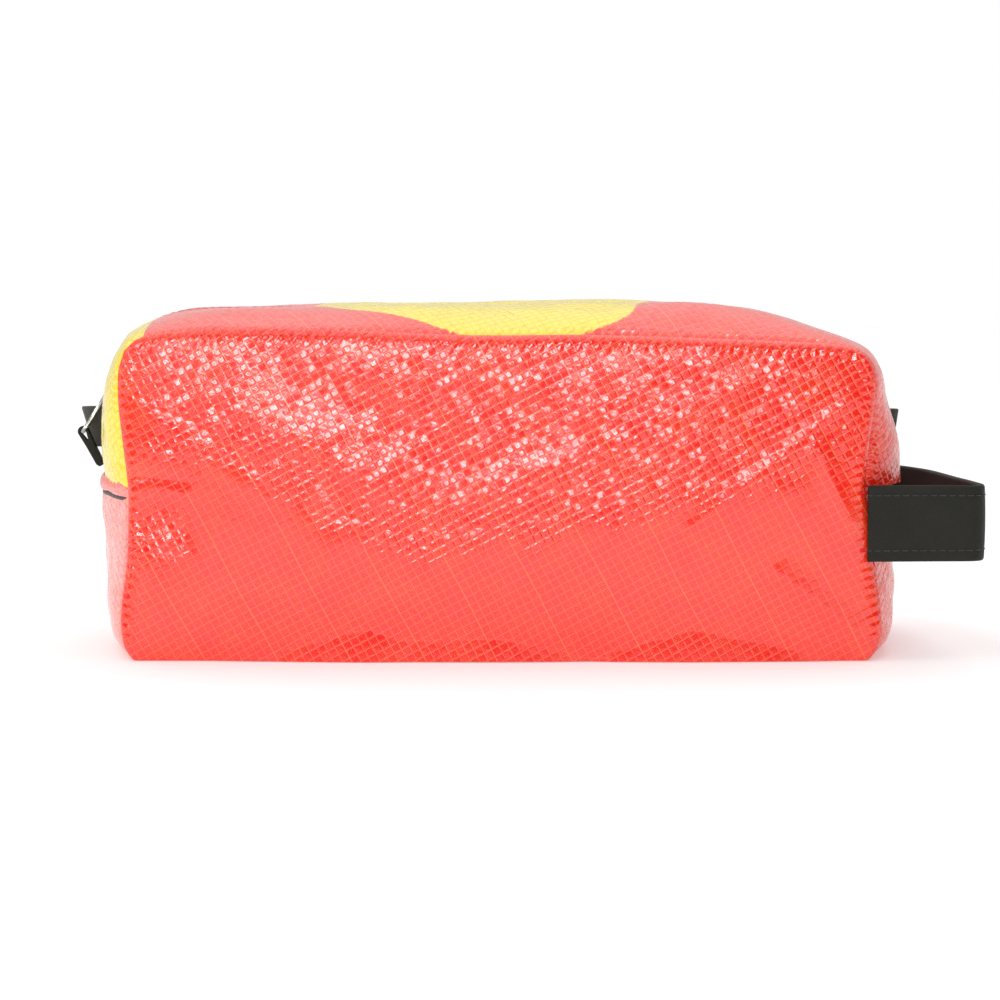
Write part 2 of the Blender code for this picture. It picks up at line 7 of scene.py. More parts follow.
import bmesh
import bpy
import numpy as np
from bpy.props import FloatProperty, FloatVectorProperty, PointerProperty
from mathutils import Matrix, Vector


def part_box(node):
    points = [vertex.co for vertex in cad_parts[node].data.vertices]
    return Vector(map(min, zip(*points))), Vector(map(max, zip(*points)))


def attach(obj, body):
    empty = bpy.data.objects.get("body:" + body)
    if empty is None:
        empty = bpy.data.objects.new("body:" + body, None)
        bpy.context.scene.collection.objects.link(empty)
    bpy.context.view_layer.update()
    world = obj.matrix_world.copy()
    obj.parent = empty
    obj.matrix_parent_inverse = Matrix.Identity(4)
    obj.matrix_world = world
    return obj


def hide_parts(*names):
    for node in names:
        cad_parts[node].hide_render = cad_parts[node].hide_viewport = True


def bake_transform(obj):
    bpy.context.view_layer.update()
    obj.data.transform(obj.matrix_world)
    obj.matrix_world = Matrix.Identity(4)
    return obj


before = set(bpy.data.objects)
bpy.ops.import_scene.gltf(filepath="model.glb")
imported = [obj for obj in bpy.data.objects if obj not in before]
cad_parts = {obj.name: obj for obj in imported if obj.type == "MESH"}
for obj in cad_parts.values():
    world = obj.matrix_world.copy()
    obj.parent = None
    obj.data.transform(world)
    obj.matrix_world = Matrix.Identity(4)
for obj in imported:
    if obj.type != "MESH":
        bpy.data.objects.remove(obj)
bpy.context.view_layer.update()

bl_info = {
    "name": "Wash Bag",
    "version": (1, 0, 0),
    "blender": (4, 5, 0),
    "location": "3D View > Sidebar > Wash Bag",
    "description": "Builds the fabric, leather, zip and stage of a zipped wash bag",
    "category": "Add Mesh",
}

MM = 0.001

# ---------------------------------------------------------------- driving dimensions

STRAP_LOW, STRAP_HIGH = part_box("handle_outer_ply")
SEAM_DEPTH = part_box("base_panel")[1].y + 1.1 * MM       # front and back seams, from the middle
ZIP_EDGE = 5.4 * MM                                     # gusset's folded edge, from the zip's middle
CREST = 22 * MM                                         # where the gusset stands highest
ROLL = 0.9 * MM                                         # how far the film rolls in at a seam
ROLL_WIDTH = 2.4 * MM

# The long seam, the gusset's crest and the zip, (x, z) at matching stations over the top
SEAM_UPPER = ((-122.9, 58), (-124.5, 73), (-125.8, 86), (-125.6, 96), (-123.6, 103),
              (-118.5, 107.2), (-108, 109.2), (-88, 110.3), (-50, 109.6), (-10, 108.1),
              (30, 108.2), (66, 107.1), (90, 106.2), (107, 105.4), (116.4, 104),
              (121.5, 100.5), (123.6, 94), (123.2, 84), (121.8, 72), (120.7, 58))
CREST_UPPER = ((-134.4, 58), (-135.8, 70), (-135.2, 84), (-133, 95), (-129.7, 102.8),
               (-124.2, 109.9), (-110.5, 115), (-88, 116.8), (-50, 117.3), (-10, 117.8),
               (34, 118.8), (68, 117.6), (89.5, 115.2), (104, 111.2), (114.5, 107.6),
               (124, 103.2), (129.4, 96), (131.8, 86), (136, 72), (137, 58))
ZIP_UPPER = ((-136.2, 58), (-132.2, 69), (-131.2, 84), (-130.5, 94.5), (-128.3, 103),
             (-123.6, 109.3), (-110, 115.35), (-88, 116), (-50, 116), (-10, 116),
             (34, 116.2), (68, 116), (89.5, 114.4), (104, 110.6), (114.5, 107),
             (123.4, 102.2), (128.6, 95.4), (131, 86), (134.4, 72), (137.4, 58))
OVER_LENGTH = 405 * MM                  # about how long that run is, from cross seam to cross seam
SEAM_CORNERS = (4, 15)                  # stations at the panel's two upper corners
# The seams below the cross seams, from there down to the floor
SEAM_LEFT_LOW = ((-122.9, 58), (-122.9, 44), (-123.6, 32), (-125.3, 19), (-125.6, 11), (-124.4, 4.2),
                 (-121.8, 0.25))
SEAM_RIGHT_LOW = ((120.7, 58), (122.3, 45), (123.8, 30), (125.3, 19), (126.2, 11), (125, 4), (122.4, 0.25))
PANEL_FOOT = ((-60, 0.2), (0, 0.25), (60, 0.2))     # a long panel's lower edge, between those seams
PANEL_LONG = 246 * MM       # along its swollen middle
PANEL_SPAN = 244 * MM       # between its side seams
PANEL_TALL = 106 * MM
# How far each end stands out, by height, and how square the swell is across the end
END_SWELL = ((0, 9), (12, 9.4), (26, 12.3), (45, 14.6), (58, 13.6))
END_SQUARE = 2.3

FILM_CELL = 2.7 * MM            # spacing of the reinforcing threads
FILM_TURN = math.radians(28)    # the threads run askew to the seams
FILM_THICK = 0.55 * MM
FINE = 0.7 * MM                 # spacing of the film's fine grid
COARSE_STEP = 4                 # the inside is that many times coarser

TOPSTITCH = 8.4 * MM            # row of stitches beside the zip, from its middle
PLEAT_PITCH = 3.1 * MM          # the little pleats along a seam, one for each stitch
TAPE_INNER = 3.75 * MM          # zip tape, from the zip's middle
TAPE_OUTER = 11.5 * MM
TAPE_SINK = 1.55 * MM           # below the gusset's outer face
COIL_SINK = 1.75 * MM
COIL_START = 88.5 * MM          # the coil starts at this height on either end, above the stops


# ---------------------------------------------------------------- curves, noise and sheets

def smooth_curve(points, count):
    """Points spaced evenly along a smooth curve through the given ones, in metres."""
    given = np.array(points, float) * MM
    padded = np.vstack((2 * given[0] - given[1], given, 2 * given[-1] - given[-2]))
    dense = []
    for i in range(1, len(padded) - 2):
        before, start, end, after = padded[i - 1:i + 3]
        square = 2 * before - 5 * start + 4 * end - after
        cube = 3 * start - before - 3 * end + after
        for t in np.linspace(0, 1, 24, endpoint=False):
            dense.append(0.5 * (2 * start + (end - before) * t + square * t ** 2 + cube * t ** 3))
    dense.append(padded[-2])
    dense = np.array(dense)
    run = np.concatenate(([0], np.cumsum(np.linalg.norm(np.diff(dense, axis=0), axis=1))))
    at = np.linspace(0, run[-1], count)
    return np.stack([np.interp(at, run, dense[:, k]) for k in range(dense.shape[1])], axis=1)


def profile(x, line):
    """Height of a line of (x, z) points in millimetres at each x, in metres."""
    return np.interp(x, [point[0] * MM for point in line], [point[1] * MM for point in line])


def noise(x, y, seed):
    """Smooth value noise from -1 to 1, with one lattice cell per unit."""
    lattice = np.random.default_rng(seed).uniform(-1, 1, (64, 64))
    column = np.floor(x).astype(int)
    row = np.floor(y).astype(int)
    u = x - column
    v = y - row
    u = u * u * (3 - 2 * u)
    v = v * v * (3 - 2 * v)
    west = column % 64
    east = (column + 1) % 64
    south = row % 64
    north = (row + 1) % 64
    low = lattice[west, south] * (1 - u) + lattice[east, south] * u
    high = lattice[west, north] * (1 - u) + lattice[east, north] * u
    return low * (1 - v) + high * v


def cell_random(column, row, seed):
    """One random number from -1 to 1 for each thread cell."""
    lattice = np.random.default_rng(seed).uniform(-1, 1, (97, 89))
    return lattice[column % 97, row % 89]


def film_relief(p, q, seed, strength=1.0):
    """Height of the film over its threads: small uneven pillows between a square grid."""
    a = (p * math.cos(FILM_TURN) + q * math.sin(FILM_TURN)) / FILM_CELL
    b = (q * math.cos(FILM_TURN) - p * math.sin(FILM_TURN)) / FILM_CELL
    column = np.floor(a).astype(int)
    row = np.floor(b).astype(int)
    u = a - column
    v = b - row
    window = 16 * u * (1 - u) * v * (1 - v)
    pillow = np.sqrt(np.maximum(window, 0))
    high = 0.6 + 0.4 * cell_random(column, row, seed)
    lean = cell_random(column, row, seed + 1) * (u - 0.5) + cell_random(column, row, seed + 2) * (v - 0.5)
    zone = 0.55 + 0.45 * noise(p / (26 * MM), q / (22 * MM), seed + 3)
    ripple = 0.05 * MM * noise(p / (4 * MM), q / (4 * MM), seed + 4)
    ripple = ripple + 0.10 * MM * noise(p / (11 * MM), q / (9 * MM), seed + 5)
    return strength * (zone * (0.10 * MM * pillow * high + 0.22 * MM * window * lean) + ripple)


def film_place(p, q, seed):
    """Where a point lies in the film's own pattern, which wanders a little as the film stretches."""
    return (p + 0.5 * MM * noise(p / (30 * MM), q / (24 * MM), seed + 6),
            q + 0.5 * MM * noise(p / (24 * MM), q / (30 * MM), seed + 7))


def seam_roll(distance):
    """0 at a seam, where the film rolls in, up to 1 away from it."""
    near = np.clip(1 - distance / ROLL_WIDTH, 0, 1)
    return 1 - near ** 2


def stepped(count):
    """A number of grid points that the coarse inside can share."""
    return COARSE_STEP * max(2, round(count / COARSE_STEP)) + 1


def mesh_object(name, mesh, *materials):
    for item in materials:
        mesh.materials.append(item)
    piece = bpy.data.objects.new(name, mesh)
    bpy.context.scene.collection.objects.link(piece)
    return piece


def one_way(grid, axis, way):
    """The same direction, along one axis, for every point of a grid."""
    direction = np.zeros_like(grid)
    direction[:, :, axis] = way
    return direction


def film_sheet(name, grid, pattern, materials, inward, thick=FILM_THICK, zone=None):
    """A closed sheet: a fine outer face, a coarse inner face, and a rim between them."""
    step = COARSE_STEP
    inner = (grid + inward * thick)[::step, ::step]
    rows, columns = grid.shape[:2]
    inner_rows, inner_columns = inner.shape[:2]
    base = rows * columns
    points = np.vstack((grid.reshape(-1, 3), inner.reshape(-1, 3)))
    flat = np.vstack((pattern.reshape(-1, 2), pattern[::step, ::step].reshape(-1, 2)))

    def out(i, j):
        return i * columns + j

    def within(i, j):
        return base + i * inner_columns + j

    i, j = np.meshgrid(np.arange(rows - 1), np.arange(columns - 1), indexing="ij")
    faces = np.stack((out(i, j), out(i, j + 1), out(i + 1, j + 1), out(i + 1, j)),
                     axis=2).reshape(-1, 4).tolist()
    outer_count = len(faces)
    i, j = np.meshgrid(np.arange(inner_rows - 1), np.arange(inner_columns - 1), indexing="ij")
    faces += np.stack((within(i, j), within(i + 1, j), within(i + 1, j + 1), within(i, j + 1)),
                      axis=2).reshape(-1, 4).tolist()
    inner_count = len(faces)
    for k in range(inner_columns - 1):
        span = range(k * step, (k + 1) * step + 1)
        faces.append([out(0, s) for s in reversed(span)] + [within(0, k), within(0, k + 1)])
        faces.append([out(rows - 1, s) for s in span]
                     + [within(inner_rows - 1, k + 1), within(inner_rows - 1, k)])
    for k in range(inner_rows - 1):
        span = range(k * step, (k + 1) * step + 1)
        faces.append([out(s, 0) for s in span] + [within(k + 1, 0), within(k, 0)])
        faces.append([out(s, columns - 1) for s in reversed(span)]
                     + [within(k, inner_columns - 1), within(k + 1, inner_columns - 1)])
    mesh = bpy.data.meshes.new(name)
    mesh.from_pydata(points.tolist(), [], faces)
    finish = np.zeros(len(faces), np.int32)
    finish[outer_count:inner_count] = 1
    mesh.polygons.foreach_set("material_index", finish)
    layer = mesh.uv_layers.new(name="film")
    corners = np.zeros(len(mesh.loops), np.int32)
    mesh.loops.foreach_get("vertex_index", corners)
    layer.data.foreach_set("uv", flat[corners].astype(np.float32).ravel())
    rough = np.ones(grid.shape[:2]) if zone is None else zone
    rough = np.concatenate((rough.ravel(), rough[::step, ::step].ravel()))
    crumple = mesh.attributes.new("crumple", "FLOAT", "POINT")
    crumple.data.foreach_set("value", rough.astype(np.float32))
    sample = mesh.polygons[outer_count // 2]
    if sample.normal.dot(Vector(inward.reshape(-1, 3)[sample.vertices[0]])) > 0:
        mesh.flip_normals()
    mesh.shade_smooth()
    mesh.set_sharp_from_angle(angle=math.radians(60))
    return mesh_object(name, mesh, *materials)


# ---------------------------------------------------------------- materials

class Value:
    """A number inside a material, kept as the socket that gives it."""

    def __init__(self, graph, socket):
        self.graph = graph
        self.socket = socket

    def math(self, operation, *others):
        return self.graph.math(operation, self, *others)

    def __add__(self, other):
        return self.math("ADD", other)

    __radd__ = __add__

    def __mul__(self, other):
        return self.math("MULTIPLY", other)

    __rmul__ = __mul__

    def __sub__(self, other):
        return self.math("SUBTRACT", other)

    def __rsub__(self, other):
        return self.graph.math("SUBTRACT", other, self)

    def __truediv__(self, other):
        return self.math("DIVIDE", other)

    def __rtruediv__(self, other):
        return self.graph.math("DIVIDE", other, self)


def join(tree, socket, value):
    """A link or a plain value goes to a node's input."""
    source = value.socket if isinstance(value, Value) else value
    if isinstance(source, bpy.types.NodeSocket):
        tree.links.new(source, socket)
    else:
        socket.default_value = source


def add_node(tree, kind, settings=None, inputs=None):
    """One node: its type, its settings, then its inputs by identifier or name."""
    node = tree.nodes.new(kind)
    for key, value in (settings or {}).items():
        setattr(node, key, value)
    for key, value in (inputs or {}).items():
        found = [socket for socket in node.inputs if socket.identifier == key or socket.name == key]
        join(tree, found[0], value)
    return node


class Graph:
    """The node tree of one material."""

    def __init__(self, name, **surface):
        self.material = bpy.data.materials.new(name)
        self.material.use_nodes = True
        self.tree = self.material.node_tree
        self.tree.nodes.clear()
        self.shader = self.add("ShaderNodeBsdfPrincipled")
        self.add("ShaderNodeOutputMaterial", None, {"Surface": self.shader.outputs[0]})
        for key, value in surface.items():
            self.shader.inputs[key.replace("_", " ")].default_value = value

    def add(self, kind, settings=None, inputs=None):
        return add_node(self.tree, kind, settings, inputs)

    def math(self, operation, *values):
        node = self.add("ShaderNodeMath", {"operation": operation})
        for socket, value in zip(node.inputs, values):
            join(self.tree, socket, value)
        return Value(self, node.outputs[0])

    def mix(self, share, first, second):
        node = self.add("ShaderNodeMix", {"data_type": "RGBA"},
                        {"Factor_Float": share, "A_Color": first, "B_Color": second})
        return node.outputs["Result"] if node.outputs[0].enabled else node.outputs[2]

    def ramp(self, value, low, high):
        """0 below low, 1 above high, smooth between them."""
        node = self.add("ShaderNodeMapRange", {"interpolation_type": "SMOOTHSTEP"},
                        {"Value": value, "From Min": low, "From Max": high})
        return Value(self, node.outputs[0])

    def place(self, uv=None):
        """Coordinates in millimetres, from a UV layer or from the object's own space."""
        if uv:
            source = self.add("ShaderNodeUVMap", {"uv_map": uv}).outputs[0]
        else:
            source = self.add("ShaderNodeTexCoord").outputs["Object"]
        scaled = self.add("ShaderNodeVectorMath", {"operation": "SCALE"},
                          {"Vector": source, "Scale": 1 / MM})
        parts = self.add("ShaderNodeSeparateXYZ", None, {"Vector": scaled.outputs[0]})
        return scaled.outputs[0], [Value(self, socket) for socket in parts.outputs]

    def noise(self, vector, scale, detail=2.0):
        node = self.add("ShaderNodeTexNoise", None, {"Vector": vector, "Scale": scale, "Detail": detail})
        return Value(self, node.outputs["Fac"])

    def drive(self, **inputs):
        """Varying things go to the shader's inputs."""
        for key, value in inputs.items():
            join(self.tree, self.shader.inputs[key.replace("_", " ")], value)

    def bump(self, height, depth):
        node = self.add("ShaderNodeBump", None, {"Strength": 1.0, "Distance": depth, "Height": height})
        self.drive(Normal=node.outputs[0])


RED = (0.98, 0.013, 0.003, 1)
ORANGE = (1.0, 0.36, 0.01, 1)
MAGENTA = (0.80, 0.008, 0.10, 1)
YELLOW = (0.96, 0.80, 0.02, 1)
GOLD = (0.95, 0.55, 0.02, 1)
# Pale pink of the painted glare: it stands in for the white light the glossy film reflects at a grazing
# view.
PAINTED_GLARE = (0.95, 0.50, 0.46, 1)
THREAD = (1.0, 0.27, 0.05, 1)
HEAVY_THREAD = (1.0, 0.36, 0.06, 1)

# Sizes of the print, in millimetres
DOT_PITCH = 1.05
SCREEN_PITCH = 0.93
DISC_PLACE = (7, 2.8)       # middle of the round yellow area on top, where it starts by the front seam
DISC_DRIFT = (-52, -22, 13)     # it drifts left by the last of these on its way from the seam to the crest
DISC_EDGE = (59.2, 60.2)
LEFT_END_EDGE = (-117.6, -117.2)        # the yellow area round the left end ends here


def thread_grid(p, q):
    """Position in the grid of reinforcing threads, counted in cells, along and across."""
    along_grid = (p * math.cos(FILM_TURN) + q * math.sin(FILM_TURN)) / (FILM_CELL / MM)
    across_grid = (q * math.cos(FILM_TURN) - p * math.sin(FILM_TURN)) / (FILM_CELL / MM)
    return along_grid, across_grid


def wave(value, pitch):
    """A sine wave along a coordinate, one period to a pitch."""
    return (value * (2 * math.pi / pitch)).math("SINE")


def yellow_areas(g, mottle):
    """1 inside the printed yellow areas: a round one on top and one round the left end."""
    _, (x, y, _) = g.place()
    from_seam, to_crest, left = DISC_DRIFT
    drift = g.ramp(y, from_seam, to_crest)
    round_x = x - DISC_PLACE[0] + drift * left
    round_y = y - DISC_PLACE[1]
    spread = (round_x * round_x + round_y * round_y).math("SQRT")
    disc = 1 - g.ramp(spread + (mottle - 0.5) * 1.5, *DISC_EDGE)
    left_end = 1 - g.ramp(x, *LEFT_END_EDGE)
    return disc.math("MAXIMUM", left_end)


def film_material(name, coat_roughness=0.1, yellow=False, pale=False):
    """Printed, laminated film: a dotted print, reinforcing threads and a clear glossy face. With pale set,
    half its colour is a painted glare of pale pink.
    """
    g = Graph(name, Coat_Weight=0.12, Coat_Roughness=coat_roughness, IOR=1.78)
    flat, (p, q, _) = g.place("film")
    turned_p, turned_q = thread_grid(p, q)
    cell_p = turned_p.math("FRACT") - 0.5
    cell_q = turned_q.math("FRACT") - 0.5
    off_p = cell_p.math("ABSOLUTE")
    off_q = cell_q.math("ABSOLUTE")
    edge_p = g.ramp(off_p, 0.27, 0.5)
    edge_q = g.ramp(off_q, 0.27, 0.5)
    threads = g.ramp(off_p, 0.42, 0.49).math("MAXIMUM", g.ramp(off_q, 0.42, 0.49))
    heavy = g.ramp(((turned_p / 8).math("FRACT") - 0.5).math("ABSOLUTE"), 0.482, 0.496)
    cell = g.add("ShaderNodeCombineXYZ", None, {"X": turned_p.math("FLOOR"), "Y": turned_q.math("FLOOR")})
    chance = g.add("ShaderNodeTexWhiteNoise", {"noise_dimensions": "2D"}, {"Vector": cell.outputs[0]})
    parts = g.add("ShaderNodeSeparateColor", None, {"Color": chance.outputs["Color"]})
    lean_p, lean_q, high = [Value(g, socket) for socket in parts.outputs]
    dots_p = wave(p + q * 0.27, DOT_PITCH)
    dots_q = wave(q - p * 0.27, DOT_PITCH)
    cloud = g.noise(flat, 0.07, 3.0)
    mottle = g.noise(flat, 0.9, 2.0)
    speck = g.noise(flat, 2.3, 1.0)
    dots = g.ramp(dots_p * dots_q * 0.7 + (cloud - 0.5) * 1.2 + (speck - 0.5) * 3.0, 0.3, 0.75)
    crossed = wave(p * 0.8 - q * 0.6, SCREEN_PITCH) * wave(p * 0.6 + q * 0.8, SCREEN_PITCH)
    screen = g.ramp(crossed - (mottle - 0.5) * 1.8, 0.25, 0.7)
    colour = g.mix(screen * 0.5, g.mix(dots * 0.32, RED, ORANGE), MAGENTA)
    if yellow:
        colour = g.mix(yellow_areas(g, mottle), colour, g.mix(dots * 0.5, YELLOW, GOLD))
    # Painted glare: half of the colour turns pale pink, standing in for reflected white light.
    if pale:
        colour = g.mix(0.5, colour, PAINTED_GLARE)
    grid_colour = g.mix(threads * 0.36, colour, THREAD)
    grid_colour = g.mix(heavy * 0.16, grid_colour, HEAVY_THREAD)
    crinkle = g.noise(flat, 1.3, 3.0)
    zone = Value(g, g.add("ShaderNodeAttribute", {"attribute_name": "crumple"}).outputs["Fac"])
    inside = (1 - edge_p) * (1 - edge_q)
    lean = (lean_p - 0.5) * cell_p + (lean_q - 0.5) * cell_q
    pillows = inside * (lean * 0.46 + high * 0.06 + 0.075) * (zone * 0.86 + 0.14)
    height = pillows + crinkle * (zone * 0.05 + 0.01)
    g.drive(Base_Color=grid_colour, Roughness=0.08 + (cloud * 0.12 + threads * 0.1))
    g.bump(height, 0.001)
    return g.material


def film_reverse_material():
    """The pale back of the film, where the threads show through."""
    g = Graph("film_reverse", Coat_Weight=0.3, Coat_Roughness=0.2)
    flat, (p, q, _) = g.place("film")
    turned_p, turned_q = thread_grid(p, q)
    threads = g.ramp((turned_p.math("FRACT") - 0.5).math("ABSOLUTE"), 0.4, 0.48).math(
        "MAXIMUM", g.ramp((turned_q.math("FRACT") - 0.5).math("ABSOLUTE"), 0.4, 0.48))
    cloud = g.noise(flat, 0.2)
    base = g.mix(cloud, (0.74, 0.66, 0.62, 1), (0.82, 0.77, 0.74, 1))
    g.drive(Base_Color=g.mix(threads * 0.4, base, (0.6, 0.4, 0.36, 1)), Roughness=0.35 + cloud * 0.2)
    g.bump(threads, 0.00005)
    return g.material


def leather_material():
    """Black coated leather with a fine grain."""
    g = Graph("black_leather", Coat_Weight=0.06, Coat_Roughness=0.25, IOR=1.28)
    space, _ = g.place()
    cells = Value(g, g.add("ShaderNodeTexVoronoi", {"feature": "DISTANCE_TO_EDGE"},
                           {"Vector": space, "Scale": 1.5}).outputs["Distance"])
    grain = g.noise(space, 2.6, 4.0)
    cloud = g.noise(space, 0.09)
    base = g.mix(cloud, (0.008, 0.008, 0.006, 1), (0.018, 0.018, 0.013, 1))
    g.drive(Base_Color=g.mix(grain * 0.4, base, (0.03, 0.03, 0.024, 1)), Roughness=0.46 + grain * 0.2)
    g.bump(g.ramp(cells, 0.0, 0.25) + grain * 0.5, 0.00008)
    return g.material


WEFT_PITCH = 0.75       # millimetres


def woven_material(name, dark, light, warp_pitch):
    """Narrow woven tape with a fine herringbone rib."""
    g = Graph(name, Sheen_Weight=0.25)
    _, (p, q, _) = g.place("film")
    weave = g.ramp(wave(p, warp_pitch) * wave(q + p * 0.5, WEFT_PITCH), -0.4, 0.6)
    g.drive(Base_Color=g.mix(weave, dark, light), Roughness=0.7 + weave * 0.12)
    g.bump(weave, 0.00008)
    return g.material


def thread_material(name, dark, light):
    """Twisted thread."""
    g = Graph(name, Sheen_Weight=0.2)
    space, (x, y, z) = g.place()
    twist = ((x + y + z) * 9).math("SINE")
    fluff = g.noise(space, 1.3, 3.0)
    g.drive(Base_Color=g.mix(fluff, dark, light), Roughness=0.55 + fluff * 0.2)
    g.bump(twist, 0.00004)
    return g.material


def coil_material():
    """Black nylon of the zip's coil."""
    g = Graph("zip_coil_nylon", Coat_Weight=0.2, Coat_Roughness=0.3)
    space, _ = g.place()
    cloud = g.noise(space, 0.8, 3.0)
    g.drive(Base_Color=g.mix(cloud, (0.008, 0.008, 0.009, 1), (0.028, 0.028, 0.030, 1)),
            Roughness=0.34 + cloud * 0.2)
    g.bump(cloud, 0.00003)
    return g.material


def steel_material():
    """Nickel-plated zinc of the slider and puller, a little worn and brushed."""
    g = Graph("nickel", Coat_Weight=0.0, Metallic=1.0)
    space, _ = g.place()
    wear = g.noise(space, 0.6, 5.0)
    brush = g.noise(g.add("ShaderNodeVectorMath", {"operation": "MULTIPLY"},
                          {"Vector": space, "Vector_001": (1.0, 9.0, 1.0)}).outputs[0], 0.9, 3.0)
    g.drive(Base_Color=g.mix(wear, (0.30, 0.29, 0.28, 1), (0.48, 0.47, 0.45, 1)),
            Roughness=0.2 + brush * 0.16 + g.ramp(wear, 0.5, 0.8) * 0.12)
    g.bump(brush * 0.6 + wear * 0.4, 0.00003)
    return g.material


def floor_material():
    """Near-white paper sweep."""
    g = Graph("studio_floor", Emission_Color=(1, 1, 1, 1), Emission_Strength=0.29)
    space, _ = g.place()
    cloud = g.noise(space, 0.002)
    g.drive(Base_Color=g.mix(cloud, (0.78, 0.78, 0.78, 1), (0.80, 0.80, 0.80, 1)),
            Roughness=0.9 + cloud * 0.05)
    return g.material


def make_finishes():
    return {
        "film": film_material("film_red"),
        "film_gusset": film_material("film_gusset", yellow=True),
        # Film with painted glare: pale pink is mixed into its colour to stand in for reflected light.
        "film_painted_glare": film_material("film_painted_glare", coat_roughness=0.16, pale=True),
        "reverse": film_reverse_material(),
        "leather": leather_material(),
        "tape": woven_material("zip_tape_weave", (0.012, 0.012, 0.013, 1), (0.035, 0.035, 0.037, 1), 0.62),
        "webbing": woven_material("loop_webbing", (0.022, 0.022, 0.015, 1), (0.085, 0.082, 0.058, 1), 0.9),
        "binding": woven_material("seam_binding_weave", (0.02, 0.02, 0.02, 1), (0.06, 0.06, 0.06, 1), 0.8),
        "black_thread": thread_material("black_thread", (0.012, 0.012, 0.012, 1), (0.05, 0.05, 0.05, 1)),
        "red_thread": thread_material("red_thread", (0.5, 0.02, 0.015, 1), (0.75, 0.08, 0.05, 1)),
        "coil": coil_material(),
        "nickel": steel_material(),
    }


LOOKS = {}


def look(name):
    """A finish from the set, which is made once."""
    if not LOOKS:
        LOOKS.update(make_finishes())
    return LOOKS[name]


# ---------------------------------------------------------------- film pieces

def ease(value, low, high):
    share = np.clip((value - low) / (high - low), 0, 1)
    return share * share * (3 - 2 * share)


def crease(x, z, first, last, height, width):
    """A sharp fold from one point of a panel to another, in millimetres, fading out at its ends."""
    start = np.array(first) * MM
    end = np.array(last) * MM
    run = end - start
    length = np.linalg.norm(run)
    run = run / length
    along_fold = (x - start[0]) * run[0] + (z - start[1]) * run[1]
    off = (x - start[0]) * -run[1] + (z - start[1]) * run[0]
    beside = np.clip(1 - np.abs(off) / (width * MM), 0, 1) ** 1.6
    past_end = np.maximum(-along_fold, along_fold - length)
    return height * MM * beside * np.clip(1 - np.clip(past_end, 0, None) / (width * MM), 0, 1) ** 2


# The front panel leans down below this line and up above it, (x, z) in millimetres
FRONT_RIDGE = ((-126, 91), (-104, 78), (-82, 62), (-56, 41), (-23, 36), (10, 37), (33, 45), (66, 53),
               (99, 59), (122, 67))
LEAN_BELOW = 0.028
LEAN_ABOVE = 0.03
# Slack patches that lean further up: middle, half sizes, turn in degrees and lean
FRONT_PATCHES = ((-44, 74, 24, 14, -32, 0.07), (-74, 88, 16, 12, -50, 0.055), (-94, 70, 24, 5, -38, 0.05),
                 (4, 66, 20, 7, 24, 0.05), (52, 84, 42, 6, 24, 0.035), (-112, 40, 9, 13, 20, 0.075),
                 (98, 70, 22, 5, 26, 0.04), (20, 96, 30, 5, 10, 0.025))
# Folds of the front panel: first point, last point, height and half width in millimetres
FRONT_FOLDS = (
    ((-122, 62), (-104, 60), -0.32, 4.5), ((92, 30), (118, 10), 0.5, 8),
    ((104, 72), (116, 46), 0.6, 7), ((62, 44), (116, 88), 0.5, 6),
)
# The foot of a long panel, where it stands on the floor: the line it flares out below, and the flare
FOOT_LINE = ((-97, 0), (-74, 3.5), (-44, 11.5), (-32, 7.5), (0, 8), (30, 2), (64, 11), (90, 6), (116, 0))
FOOT_FLARE = 0.09


PANEL_BULGE = 4.2 * MM      # how far a long panel swells in its middle
PANEL_SLACK = 0.35 * MM
RIDGE_SOFT = 2 * MM         # how gently the lean changes at the ridge
# Pleats at the two side seams and at the top seam of a long panel
SIDE_PLEAT = 0.28 * MM
TOP_PLEAT = 0.5 * MM


def panel_bulge(x, z, seed, folds, ridge, patches):
    """How far a long panel stands out from its seams, with its lean, its folds and its slack."""
    across = np.clip(1 - np.abs(x / (124 * MM)) ** 3.2, 0, 1)
    foot = profile(x, FOOT_LINE)
    height = np.clip(np.maximum(z, foot) / (109 * MM), 0, 1)
    tall = np.clip(np.sin(math.pi * height ** 0.9), 0, 1) ** 0.35
    crest = profile(x, ridge)
    above = np.logaddexp(0, (z - crest) / RIDGE_SOFT) * RIDGE_SOFT
    below = np.logaddexp(0, (crest - z) / RIDGE_SOFT) * RIDGE_SOFT
    bulge = (PANEL_BULGE - LEAN_ABOVE * above - LEAN_BELOW * below) * across ** 0.6 * tall
    bulge = bulge + FOOT_FLARE * np.maximum(foot - z, 0)
    for middle_x, middle_z, half_x, half_z, turn, lean in patches:
        turned = math.radians(turn)
        off_x = x - middle_x * MM
        off_z = z - middle_z * MM
        along_patch = off_x * math.cos(turned) + off_z * math.sin(turned)
        over = off_z * math.cos(turned) - off_x * math.sin(turned)
        spread = (along_patch / (half_x * MM)) ** 4 + (over / (half_z * MM)) ** 4
        bulge = bulge - lean * over * np.exp(-spread)
    for first, last, high, width in folds:
        bulge = bulge + crease(x, z, first, last, high, width)
    slack = noise(x / (34 * MM) + 7, z / (27 * MM) + 3, seed)
    slack = slack + 0.4 * noise(x / (15 * MM), z / (12 * MM), seed + 1)
    return bulge + PANEL_SLACK * slack * across * tall


def pucker(run, distance, seed, reach=3.2 * MM, size=0.5 * MM, slant=0.5):
    """Small slanting pleats that the stitches draw up along a seam."""
    wander = 0.4 * noise(run / (11 * MM) + 3, run * 0 + 1, seed)
    strength = 0.6 + 0.4 * noise(run / (7 * MM), run * 0 + 5, seed + 1)
    fade = np.exp(-np.clip(distance - 2.2 * MM, 0, None) / reach * 2) * np.clip(distance / (0.9 * MM), 0, 1)
    pleats = np.sin(2 * math.pi * (run / PLEAT_PITCH + wander + slant * distance / PLEAT_PITCH))
    return size * strength * fade * pleats


def run_lengths(points):
    steps = np.linalg.norm(np.diff(points, axis=0), axis=1)
    return np.concatenate(([0], np.cumsum(steps)))


